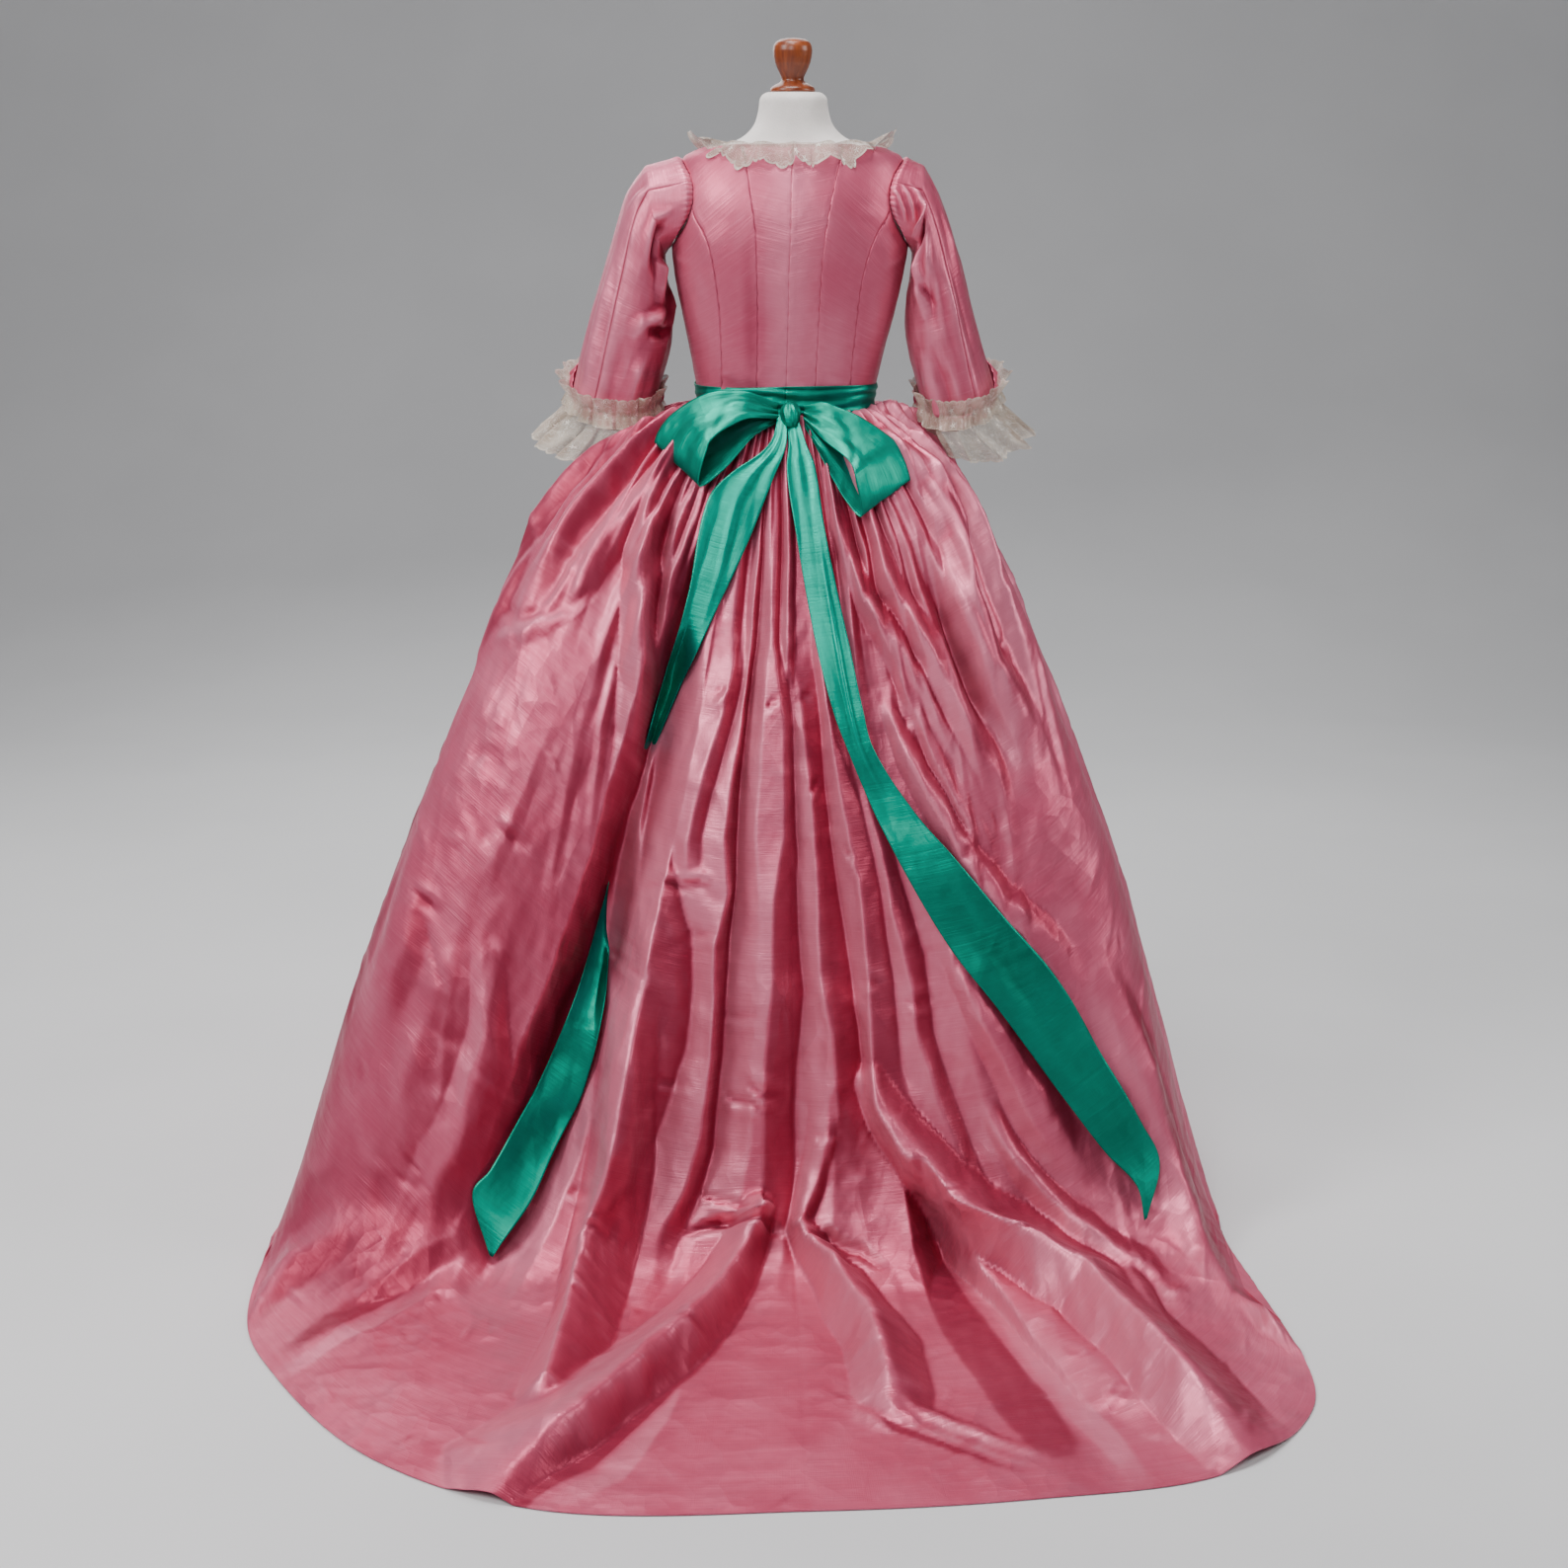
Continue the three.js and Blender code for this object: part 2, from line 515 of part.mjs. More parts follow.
// ---------- skirt: lines from waist to hem, at turns from 0, the centre back, to 1, the centre front ----------
// waist is the angle round the waist; brk is where the line would meet the floor; hem is its end
const skirtLines = [
  { turn: -1.1, waist: -202, brkX: 270, brkY: 400, hemX: 270, hemY: 400, hemZ: 12, swell: 0.62 },
  { turn: -1, waist: -180, brkX: 0, brkY: 440, hemX: 0, hemY: 440, hemZ: 12, swell: 0.62 },
  { turn: -0.9, waist: -158, brkX: -270, brkY: 400, hemX: -270, hemY: 400, hemZ: 12, swell: 0.62 },
  { turn: -0.8, waist: -136, brkX: -470, brkY: 270, hemX: -470, hemY: 270, hemZ: 12, swell: 0.6 },
  { turn: -0.7, waist: -115, brkX: -618, brkY: 40, hemX: -622, hemY: 35, hemZ: 10, swell: 0.57 },
  { turn: -0.6, waist: -99, brkX: -692, brkY: -190, hemX: -704, hemY: -300, hemZ: 2, swell: 0.56 },
  { turn: -0.5, waist: -84, brkX: -700, brkY: -360, hemX: -704, hemY: -585, hemZ: 0.4, swell: 0.56 },
  { turn: -0.4, waist: -67, brkX: -568, brkY: -450, hemX: -638, hemY: -752, hemZ: 0.4, swell: 0.59 },
  { turn: -0.28, waist: -47, brkX: -385, brkY: -465, hemX: -485, hemY: -950, hemZ: 0.4, swell: 0.64 },
  { turn: -0.15, waist: -26, brkX: -200, brkY: -450, hemX: -270, hemY: -1062, hemZ: 0.4, swell: 0.7 },
  { turn: 0, waist: 0, brkX: 8, brkY: -430, hemX: 24, hemY: -1063, hemZ: 0.4, swell: 0.72 },
  { turn: 0.15, waist: 26, brkX: 190, brkY: -440, hemX: 280, hemY: -1038, hemZ: 0.4, swell: 0.7 },
  { turn: 0.28, waist: 47, brkX: 345, brkY: -430, hemX: 500, hemY: -985, hemZ: 0.4, swell: 0.64 },
  { turn: 0.4, waist: 67, brkX: 500, brkY: -380, hemX: 632, hemY: -835, hemZ: 0.4, swell: 0.6 },
  { turn: 0.5, waist: 84, brkX: 586, brkY: -290, hemX: 638, hemY: -640, hemZ: 0.4, swell: 0.6 },
  { turn: 0.55, waist: 91.5, brkX: 598, brkY: -215, hemX: 602, hemY: -510, hemZ: 1, swell: 0.6 },
  { turn: 0.6, waist: 99, brkX: 602, brkY: -130, hemX: 604, hemY: -330, hemZ: 2, swell: 0.6 },
  { turn: 0.7, waist: 115, brkX: 565, brkY: 70, hemX: 568, hemY: 60, hemZ: 10, swell: 0.6 },
  { turn: 0.8, waist: 136, brkX: 450, brkY: 270, hemX: 450, hemY: 270, hemZ: 12, swell: 0.6 },
  { turn: 0.9, waist: 158, brkX: 265, brkY: 400, hemX: 265, hemY: 400, hemZ: 12, swell: 0.62 },
  { turn: 1, waist: 180, brkX: 0, brkY: 440, hemX: 0, hemY: 440, hemZ: 12, swell: 0.62 },
  { turn: 1.1, waist: 202, brkX: -270, brkY: 400, hemX: -270, hemY: 400, hemZ: 12, swell: 0.62 },
];
const skirtKeys = ['waist', 'brkX', 'brkY', 'hemX', 'hemY', 'hemZ', 'swell'];
const skirt = columns(skirtLines, 'turn', skirtKeys);
const bendReach = 130;         // length of the bend where the hanging cloth turns on to the floor
const floorGap = 0.4;

// large folds: a ridge, or a trough where high is negative, whose middle runs through the turns
// start, half and end while its place down the cloth runs from "from" to "to"; wide is half its width
const largeFolds = [
  { start: -0.4, half: -0.39, end: -0.4, from: 0.1, to: 0.9, wide: 150, high: 26 },
  { start: -0.55, half: -0.54, end: -0.5, from: 0.05, to: 0.3, wide: 60, high: 10 },
  { start: -0.33, half: -0.3, end: -0.25, from: 0.04, to: 0.3, wide: 36, high: 12 },
  { start: -0.2, half: -0.215, end: -0.27, from: 0.1, to: 0.68, wide: 48, high: -30 },
  { start: -0.17, half: -0.195, end: -0.185, from: 0.25, to: 0.9, wide: 44, high: 24 },
  { start: -0.15, half: -0.145, end: -0.14, from: 0.3, to: 0.66, wide: 46, high: -12 },
  { start: -0.11, half: -0.105, end: -0.1, from: 0.1, to: 0.7, wide: 36, high: 14 },
  { start: -0.06, half: -0.075, end: -0.085, from: 0.2, to: 0.62, wide: 30, high: -14 },
  { start: -0.02, half: -0.02, end: -0.01, from: 0.08, to: 0.75, wide: 40, high: 14 },
  { start: 0.05, half: 0.055, end: 0.06, from: 0.15, to: 0.6, wide: 34, high: 10 },
  { start: 0.09, half: 0.105, end: 0.14, from: 0.15, to: 0.66, wide: 42, high: 20 },
  { start: 0.14, half: 0.165, end: 0.19, from: 0.25, to: 0.62, wide: 36, high: 12 },
  { start: 0.13, half: 0.2, end: 0.29, from: 0.06, to: 0.4, wide: 34, high: 12 },
  { start: 0.21, half: 0.27, end: 0.34, from: 0.05, to: 0.42, wide: 34, high: 12 },
  { start: 0.3, half: 0.37, end: 0.42, from: 0.03, to: 0.4, wide: 40, high: 12 },
  { start: 0.46, half: 0.45, end: 0.42, from: 0.3, to: 0.95, wide: 130, high: 18 },
  { start: 0.12, half: 0.215, end: 0.3, from: 0.5, to: 1, wide: 85, high: 36 },
  { start: 0.33, half: 0.31, end: 0.3, from: 0.74, to: 0.97, wide: 40, high: 14 },
  { start: -0.08, half: -0.14, end: -0.185, from: 0.74, to: 1.02, wide: 60, high: 28 },
  { start: 0.02, half: 0.06, end: 0.12, from: 0.8, to: 0.98, wide: 50, high: 14 },
];
// hidden sides and front: even flutes
const fluteCount = 13;
const fluteHigh = 7;

function skirtLine(turn) {
  const row = Object.fromEntries(skirtKeys.map((key) => [key, skirt[key](turn)]));
  const top = torsoPoint(row.waist, waistHeight);
  const floor = new THREE.Vector3(row.brkX, row.brkY, row.hemZ);
  const hem = new THREE.Vector3(row.hemX, row.hemY, row.hemZ);
  let points = steps(44).map((k) => {
    const t = k ** 1.7;
    return top.clone().lerp(floor, t ** row.swell).setZ(mix(waistHeight, row.hemZ, t));
  });
  const train = floor.distanceTo(hem);
  if (train > 5) {
    const reach = Math.min(bendReach, 0.6 * train);
    const lengths = lengthsOf(points);
    const cut = lengths[lengths.length - 1] - reach;
    const first = pointAlong(points, lengths, cut);
    const last = floor.clone().lerp(hem, reach / train);
    points = points.filter((_, i) => lengths[i] < cut);
    for (const s of steps(9)) {
      points.push(first.clone().lerp(floor, s).lerp(floor.clone().lerp(last, s), s));
    }
    for (const s of steps(10).slice(1)) points.push(last.clone().lerp(hem, s));
  }
  const lengths = lengthsOf(points);
  const whole = lengths[lengths.length - 1];
  return (down) => pointAlong(points, lengths, clamp(down, 0, 1) * whole);
}

const knownLines = new Map();
function skirtBase(turn, down) {
  if (!knownLines.has(turn)) knownLines.set(turn, skirtLine(turn));
  return knownLines.get(turn)(down);
}

const skirtSpan = (down) => mix(320, 1500, down ** 0.75);   // width of cloth for a whole turn
const fade = (t, share) => ease(clamp(t / share, 0, 1)) * ease(clamp((1 - t) / share, 0, 1));

function foldHeight(turn, down) {
  let height = 0;
  for (const fold of largeFolds) {
    const t = (down - fold.from) / (fold.to - fold.from);
    if (t <= 0 || t >= 1) continue;
    const bend = fold.half - (fold.start + fold.end) / 2;
    const middle = mix(fold.start, fold.end, t) + 4 * t * (1 - t) * bend;
    const x = Math.abs((turn - middle) * skirtSpan(down)) / fold.wide;
    if (x < 1) height += fold.high * fade(t, 0.3) * 0.5 * (1 + Math.cos(Math.PI * x));
  }
  const hidden = ease(clamp((Math.abs(turn) - 0.5) / 0.12, 0, 1));
  const flute = 0.5 + 0.5 * Math.cos(2 * Math.PI * fluteCount * turn);
  return height + hidden * fluteHigh * flute * ease(clamp(down / 0.1, 0, 1));
}

function skirtPoint(turn, down) {
  const base = skirtBase(turn, down);
  const out = normalOf(skirtBase, turn, clamp(down, 0.002, 0.998), 0.004, -0.002);
  base.addScaledVector(out, foldHeight(turn, down));
  return base.setZ(Math.max(base.z, floorGap));
}

// places down the cloth of the panels' rows, closer where it bends on to the floor
const trainDowns = [1, 0.93, 0.86, 0.8, 0.755, 0.715, 0.675, 0.63, 0.57, 0.49, 0.4, 0.3, 0.2, 0.11, 0.04, 0];
const frontDowns = [1, 0.86, 0.72, 0.58, 0.45, 0.32, 0.2, 0.1, 0];

function addSkirt() {
  const panels = [
    { name: 'skirt_back_left', from: -0.38, to: 0, across: 18, downs: trainDowns },
    { name: 'skirt_back_right', from: 0, to: 0.38, across: 18, downs: trainDowns },
    { name: 'skirt_side_left', from: -0.76, to: -0.38, across: 8, downs: trainDowns },
    { name: 'skirt_side_right', from: 0.38, to: 0.76, across: 8, downs: trainDowns },
    { name: 'skirt_front', from: 0.76, to: 1.24, across: 11, downs: frontDowns },
  ];
  for (const panel of panels) {
    const turns = steps(panel.across).map((t) => mix(panel.from, panel.to, t));
    const wrap = (turn, down) => skirtPoint(turn > 1 ? turn - 2 : turn, down);
    const under = turns.map((u) => panel.downs.map((v) => wrap(u, v)));
    const out = (u, v) => normalOf(wrap, u, clamp(v, 0.003, 0.997), 0.004, -0.003);
    const over = turns.map((u, i) => panel.downs.map((v, j) => {
      const point = under[i][j].clone().addScaledVector(out(u, v), clothThick);
      return point.setZ(Math.max(point.z, floorGap + clothThick));
    }));
    trimSides(under, over, skirtSeamGap);
    addWall(panel.name, silkPink, under, over);
  }
}

// ---------- sash: waist band, knot, two loops and two tails ----------
const bandFoot = bodiceFoot + 2;
const bandTop = 1146;
const bandLift = 1.9;          // the band over the bodice, with room for the facets of both
const knotPlace = { x: 4, y: -109.9, z: 1110 };
const knotHalf = { x: 20, y: 14, z: 24 };
const knotLean = 0.35;         // how far the knot's foot stands out, for each mm down

// a loop's ribbon from the knot over the top, round its end and back: its far edge lies against the
// gown, its near edge stands out from it
const loopStations = {
  left: [
    { farX: -15.2, farY: -104, farZ: 1123, nearX: -15.2, nearY: -117, nearZ: 1106 },
    { farX: -62, farY: -112, farZ: 1143, nearX: -58, nearY: -146, nearZ: 1108 },
    { farX: -118, farY: -118, farZ: 1136, nearX: -98, nearY: -176, nearZ: 1088 },
    { farX: -166, farY: -120, farZ: 1106, nearX: -110, nearY: -190, nearZ: 1071 },
    { farX: -182, farY: -122, farZ: 1072, nearX: -120, nearY: -190, nearZ: 1022 },
    { farX: -140, farY: -120, farZ: 1080, nearX: -84, nearY: -166, nearZ: 1044 },
    { farX: -60, farY: -108, farZ: 1108, nearX: -46, nearY: -136, nearZ: 1084 },
    { farX: -16.4, farY: -101, farZ: 1112, nearX: -16.4, nearY: -113, nearZ: 1099 },
  ],
  right: [
    { farX: 23.3, farY: -104, farZ: 1121, nearX: 23.3, nearY: -118, nearZ: 1103 },
    { farX: 56, farY: -114, farZ: 1126, nearX: 50, nearY: -152, nearZ: 1080 },
    { farX: 112, farY: -126, farZ: 1100, nearX: 84, nearY: -182, nearZ: 1054 },
    { farX: 156, farY: -136, farZ: 1068, nearX: 92, nearY: -200, nearZ: 1032 },
    { farX: 176, farY: -140, farZ: 1030, nearX: 100, nearY: -200, nearZ: 982 },
    { farX: 130, farY: -136, farZ: 1046, nearX: 76, nearY: -178, nearZ: 1006 },
    { farX: 62, farY: -116, farZ: 1090, nearX: 46, nearY: -146, nearZ: 1056 },
    { farX: 24.4, farY: -101, farZ: 1110, nearX: 24.4, nearY: -114, nearZ: 1096 },
  ],
};
const loopKeys = ['farX', 'farY', 'farZ', 'nearX', 'nearY', 'nearZ'];

// a tail's two edges on the skirt, as skirt turns, at places down from the waist
const tailEdges = {
  left: [
    { down: 0.03, from: -0.06, to: 0 }, { down: 0.06, from: -0.17, to: -0.045 },
    { down: 0.085, from: -0.213, to: -0.075 }, { down: 0.155, from: -0.207, to: -0.14 },
    { down: 0.215, from: -0.213, to: -0.18 }, { down: 0.26, from: -0.22, to: -0.2 },
    { down: 0.3, from: -0.226, to: -0.212 }, { down: 0.36, from: -0.232, to: -0.218 },
    { down: 0.42, from: -0.236, to: -0.214 }, { down: 0.485, from: -0.25, to: -0.212 },
    { down: 0.56, from: -0.273, to: -0.228 }, { down: 0.62, from: -0.293, to: -0.25 },
    { down: 0.665, from: -0.307, to: -0.262 }, { down: 0.695, from: -0.317, to: -0.272 },
    { down: 0.725, from: -0.288, to: -0.28 },
  ],
  right: [
    { down: 0.03, from: 0.01, to: 0.075 }, { down: 0.05, from: 0.0, to: 0.097 },
    { down: 0.1, from: 0.023, to: 0.104 }, { down: 0.19, from: 0.06, to: 0.128 },
    { down: 0.245, from: 0.087, to: 0.14 }, { down: 0.275, from: 0.107, to: 0.15 },
    { down: 0.33, from: 0.143, to: 0.205 }, { down: 0.37, from: 0.173, to: 0.25 },
    { down: 0.435, from: 0.223, to: 0.307 }, { down: 0.49, from: 0.27, to: 0.345 },
    { down: 0.565, from: 0.32, to: 0.379 }, { down: 0.645, from: 0.36, to: 0.405 },
    { down: 0.685, from: 0.38, to: 0.413 }, { down: 0.72, from: 0.376, to: 0.384 },
  ],
};
const tailLift = { left: 2.9, right: 4 };
const tailReach = 0.03;        // a tail bridges the hollows between ridges this far apart

function addWaistBand() {
  const lift = clothThick + bandLift;
  const heights = [bandFoot, bandTop];
  const turns = steps(32).slice(0, 32).map((t) => t * 360);
  addPatch('sash_waist', sashGreen, torsoPoint, turns, heights, silkThick, lift, true);
}

function addKnot() {
  const ball = new THREE.SphereGeometry(1, 14, 8);
  ball.rotateX(Math.PI / 2);
  const spots = ball.attributes.position;
  for (let i = 0; i < spots.count; i += 1) {
    const z = spots.getZ(i) * knotHalf.z;
    spots.setXYZ(i, spots.getX(i) * knotHalf.x, spots.getY(i) * knotHalf.y + z * knotLean, z);
  }
  ball.translate(knotPlace.x, knotPlace.y, knotPlace.z);
  const mesh = new THREE.Mesh(ball, new THREE.MeshStandardMaterial({ ...sashGreen, metalness: 0 }));
  mesh.name = 'bow_knot';
  group.add(mesh);
}

function addLoops() {
  for (const hand of ['left', 'right']) {
    const rows = loopStations[hand].map((row, i) => ({ ...row, at: i }));
    const edge = columns(rows, 'at', loopKeys);
    const far = (at) => new THREE.Vector3(edge.farX(at), edge.farY(at), edge.farZ(at));
    const near = (at) => new THREE.Vector3(edge.nearX(at), edge.nearY(at), edge.nearZ(at));
    const across = (t) => (hand === 'left' ? t : 1 - t);
    const surface = (t, at) => far(at).lerp(near(at), across(t));
    const ats = steps(12).map((t) => 0.001 + t * (rows.length - 1.002));
    addPatch(`bow_loop_${hand}`, sashGreen, surface, steps(3), ats, silkThick);
  }
}

function addTails() {
  for (const hand of ['left', 'right']) {
    const edge = columns(tailEdges[hand], 'down', ['from', 'to']);
    const rest = (turn, down) => {
      const near = [-1, -0.5, 0, 0.5, 1].map((k) => foldHeight(turn + k * tailReach, down));
      const out = normalOf(skirtBase, turn, down, 0.004, -0.002);
      return skirtBase(turn, down).addScaledVector(out, Math.max(...near) + clothThick + tailLift[hand]);
    };
    const surface = (t, down) => rest(mix(edge.from(down), edge.to(down), t), down);
    const rows = tailEdges[hand];
    const downs = steps(20).map((t) => mix(rows[rows.length - 1].down, rows[0].down, t));
    addPatch(`sash_tail_${hand}`, sashGreen, surface, steps(3), downs, silkThick);
  }
}

addForm();
addStand();
addBodice();
addSleeves();
addCuffs();
addNeckLace();
addSkirt();
addWaistBand();
addKnot();
addLoops();
addTails();

export default group;
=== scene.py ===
import math

import bmesh
import bpy
import numpy as np
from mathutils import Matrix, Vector


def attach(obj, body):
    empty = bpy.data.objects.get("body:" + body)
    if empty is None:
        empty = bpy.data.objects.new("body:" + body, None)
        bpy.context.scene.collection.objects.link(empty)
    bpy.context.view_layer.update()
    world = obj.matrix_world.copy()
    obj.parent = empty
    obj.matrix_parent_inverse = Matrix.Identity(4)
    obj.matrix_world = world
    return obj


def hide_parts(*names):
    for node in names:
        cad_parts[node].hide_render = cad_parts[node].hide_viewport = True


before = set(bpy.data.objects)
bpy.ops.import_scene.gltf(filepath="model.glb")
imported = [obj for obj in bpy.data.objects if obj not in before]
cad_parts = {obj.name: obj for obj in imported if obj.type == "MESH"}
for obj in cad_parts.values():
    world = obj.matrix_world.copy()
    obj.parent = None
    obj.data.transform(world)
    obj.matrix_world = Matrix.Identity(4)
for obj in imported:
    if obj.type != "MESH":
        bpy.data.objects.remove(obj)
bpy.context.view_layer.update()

# Sizes are in mm in the part's own frame, with the wearer's left at -X and the back facing -Y. A place on
# the form is a turn in degrees, 0 at the centre back and 90 at +X, and a height.
mm = 0.001
waistHeight = 1106.0
roundness = 2.3      # exponent of the form's sections
wallOf = {"silk": 0.0016, "frill": 0.0009, "band": 0.0008, "ribbon": 0.0007}    # in metres

# camera and lights: metres, watts and the lens in mm
view = {"place": (-0.005, -3.4, 1.45), "down": 14.75, "lens": 54.42}
lamps = {
    "above": {"place": (-0.2, -0.4, 3.9), "size": 1.5, "power": 96, "warm": (1.0, 0.99, 0.98)},
    "left": {"place": (-2.7, -1.9, 3.1), "size": 1.4, "power": 92, "warm": (1.0, 0.97, 0.95)},
    "right": {"place": (3.3, -0.8, 2.4), "size": 1.4, "power": 46, "warm": (1.0, 0.98, 0.96)},
    "front": {"place": (-0.7, -3.5, 2.7), "size": 1.2, "power": 40, "warm": (1.0, 0.99, 0.97)},
    "behind": {"place": (-0.6, 2.4, 2.6), "size": 2.4, "power": 50, "warm": (1.0, 0.99, 0.97)},
}
air = {"aim": (0, -0.1, 1.0), "colour": (0.86, 0.88, 0.92, 1), "power": 0.09}


def addCamera():
    bpy.ops.object.camera_add(location=view["place"], rotation=(math.radians(90 - view["down"]), 0, 0))
    camera = bpy.context.object
    camera.data.sensor_width = 36
    camera.data.lens = view["lens"]
    camera.data.clip_end = 60
    bpy.context.scene.camera = camera


def addLamps():
    for name, lamp in lamps.items():
        bpy.ops.object.light_add(type="AREA", location=lamp["place"])
        light = bpy.context.object
        light.name = name
        light.data.size = lamp["size"]
        light.data.energy = lamp["power"]
        light.data.color = lamp["warm"]
        aim = Vector(air["aim"]) - Vector(lamp["place"])
        light.rotation_euler = aim.to_track_quat("-Z", "Y").to_euler()
    world = bpy.data.worlds.new("studio")
    world.use_nodes = True
    world.node_tree.nodes["Background"].inputs["Color"].default_value = air["colour"]
    world.node_tree.nodes["Background"].inputs["Strength"].default_value = air["power"]
    bpy.context.scene.world = world


# a socket of a material's node tree, with the sums that the materials use
class Wire:
    def __init__(self, tree, socket):
        self.tree = tree
        self.socket = socket

    def node(self, kind, settings=None, **values):
        # an input goes by its label, or by i and its number where a label comes twice
        made = self.tree.nodes.new(kind)
        settings = dict(settings or {})
        out = settings.pop("out", 0)
        for key, value in settings.items():
            setattr(made, key, value)
        for key, value in values.items():
            label = key.replace("_", " ")
            slots = [slot for slot in made.inputs if slot.name == label and slot.enabled]
            slot = slots[0] if slots else made.inputs[int(label[1:])]
            if isinstance(value, Wire):
                self.tree.links.new(value.socket, slot)
            elif slot.type == "RGBA":
                slot.default_value = (*value, 1)
            else:
                slot.default_value = value
        return Wire(self.tree, made.outputs[out])

    def beside(self, key):
        # another output of the same node
        return Wire(self.tree, self.socket.node.outputs[key])

    def sum(self, operation, first, second):
        return self.node("ShaderNodeMath", {"operation": operation}, i0=first, i1=second)

    def __add__(self, other):
        return self.sum("ADD", self, other)

    def __radd__(self, other):
        return self.sum("ADD", other, self)

    def __sub__(self, other):
        return self.sum("SUBTRACT", self, other)

    def __rsub__(self, other):
        return self.sum("SUBTRACT", other, self)

    def __mul__(self, other):
        return self.sum("MULTIPLY", self, other)

    def __rmul__(self, other):
        return self.sum("MULTIPLY", other, self)

    def __pow__(self, other):
        return self.sum("POWER", self, other)

    def __lt__(self, other):
        return self.sum("LESS_THAN", self, other)

    def call(self, operation, other=0.0):
        return self.sum(operation, self, other)

    def between(self, low, high, start=0.0, end=1.0):
        return self.node("ShaderNodeMapRange", {"interpolation_type": "SMOOTHSTEP"}, Value=self,
                         From_Min=low, From_Max=high, To_Min=start, To_Max=end)

    def at(self, scale=(1, 1, 1), turn=(0, 0, 0), move=(0, 0, 0)):
        return self.node("ShaderNodeMapping", None, Vector=self, Scale=scale, Rotation=turn, Location=move)

    def noise(self, scale, detail=3.0, rough=0.55, bend=0.0):
        return self.node("ShaderNodeTexNoise", None, Vector=self, Scale=scale, Detail=detail,
                         Roughness=rough, Distortion=bend)

    def cells(self, scale, feature="F1", **values):
        return self.node("ShaderNodeTexVoronoi", {"feature": feature}, Vector=self, Scale=scale, **values)

    def parts(self):
        split = self.node("ShaderNodeSeparateXYZ", None, Vector=self)
        return split.beside(0), split.beside(1)

    def blend(self, first, second):
        # this wire is the share of the second colour
        return self.node("ShaderNodeMix", {"data_type": "RGBA", "out": 2}, i0=self, i6=first, i7=second)


def newMaterial(name, fixed):
    material = bpy.data.materials.new(name)
    material.use_nodes = True
    tree = material.node_tree
    shader = tree.nodes["Principled BSDF"]
    for key, value in fixed.items():
        shader.inputs[key].default_value = value
    coords = tree.nodes.new("ShaderNodeTexCoord")
    flat = Wire(tree, coords.outputs["UV"])
    solid = Wire(tree, coords.outputs["Object"])

    def feed(key, wire):
        tree.links.new(wire.socket, shader.inputs[key])

    return material, flat, solid, feed


def bumpOf(height, depth, base=None):
    extra = {"Normal": base} if base else {}
    return height.node("ShaderNodeBump", None, Height=height, Strength=1.0, Distance=depth, **extra)


# how often each thread's unevenness comes in a metre, across the cloth and down it
weave = {"weft": (16, 520, 1), "slub": (7, 250, 1), "bars": (2.5, 85, 1), "warp": (700, 9, 1)}
# dark is the painted shade colour of the hollows; glow is the silk's light tone and its painted highlight
pinks = {"colour": (0.66, 0.13, 0.225), "glow": (0.90, 0.31, 0.44), "deep": (0.52, 0.078, 0.15),
         "dark": (0.27, 0.014, 0.045), "slubs": 1.0, "gloss": 0.41, "metal": 0.45}
silks = {
    "pinkSilk": {**pinks, "crush": 0.8},
    "smoothSilk": {**pinks, "crush": 0.3},
    "greenSilk": {"colour": (0.0, 0.30, 0.205), "glow": (0.0, 0.52, 0.385), "deep": (0.0, 0.22, 0.148),
                  "dark": (0.0, 0.05, 0.036), "slubs": 0.45, "gloss": 0.45, "metal": 0.85, "crush": 0.8},
}
# depth is from the gathered edge to the free one and scallop is a lobe's width, in metres
laces = {
    "cuffLace": {"cream": (0.66, 0.56, 0.45), "shadow": (0.38, 0.30, 0.23), "depth": 0.085,
                 "scallop": 0.016, "veil": 0.5},
    "headLace": {"cream": (0.68, 0.57, 0.46), "shadow": (0.40, 0.31, 0.24), "depth": 0.045,
                 "scallop": 0.012, "veil": 0.55},
    "neckLace": {"cream": (0.60, 0.50, 0.42), "shadow": (0.38, 0.30, 0.24), "depth": 0.04,
                 "scallop": 0.013, "veil": 0.5},
}
laceThread = (0.94, 0.88, 0.80)


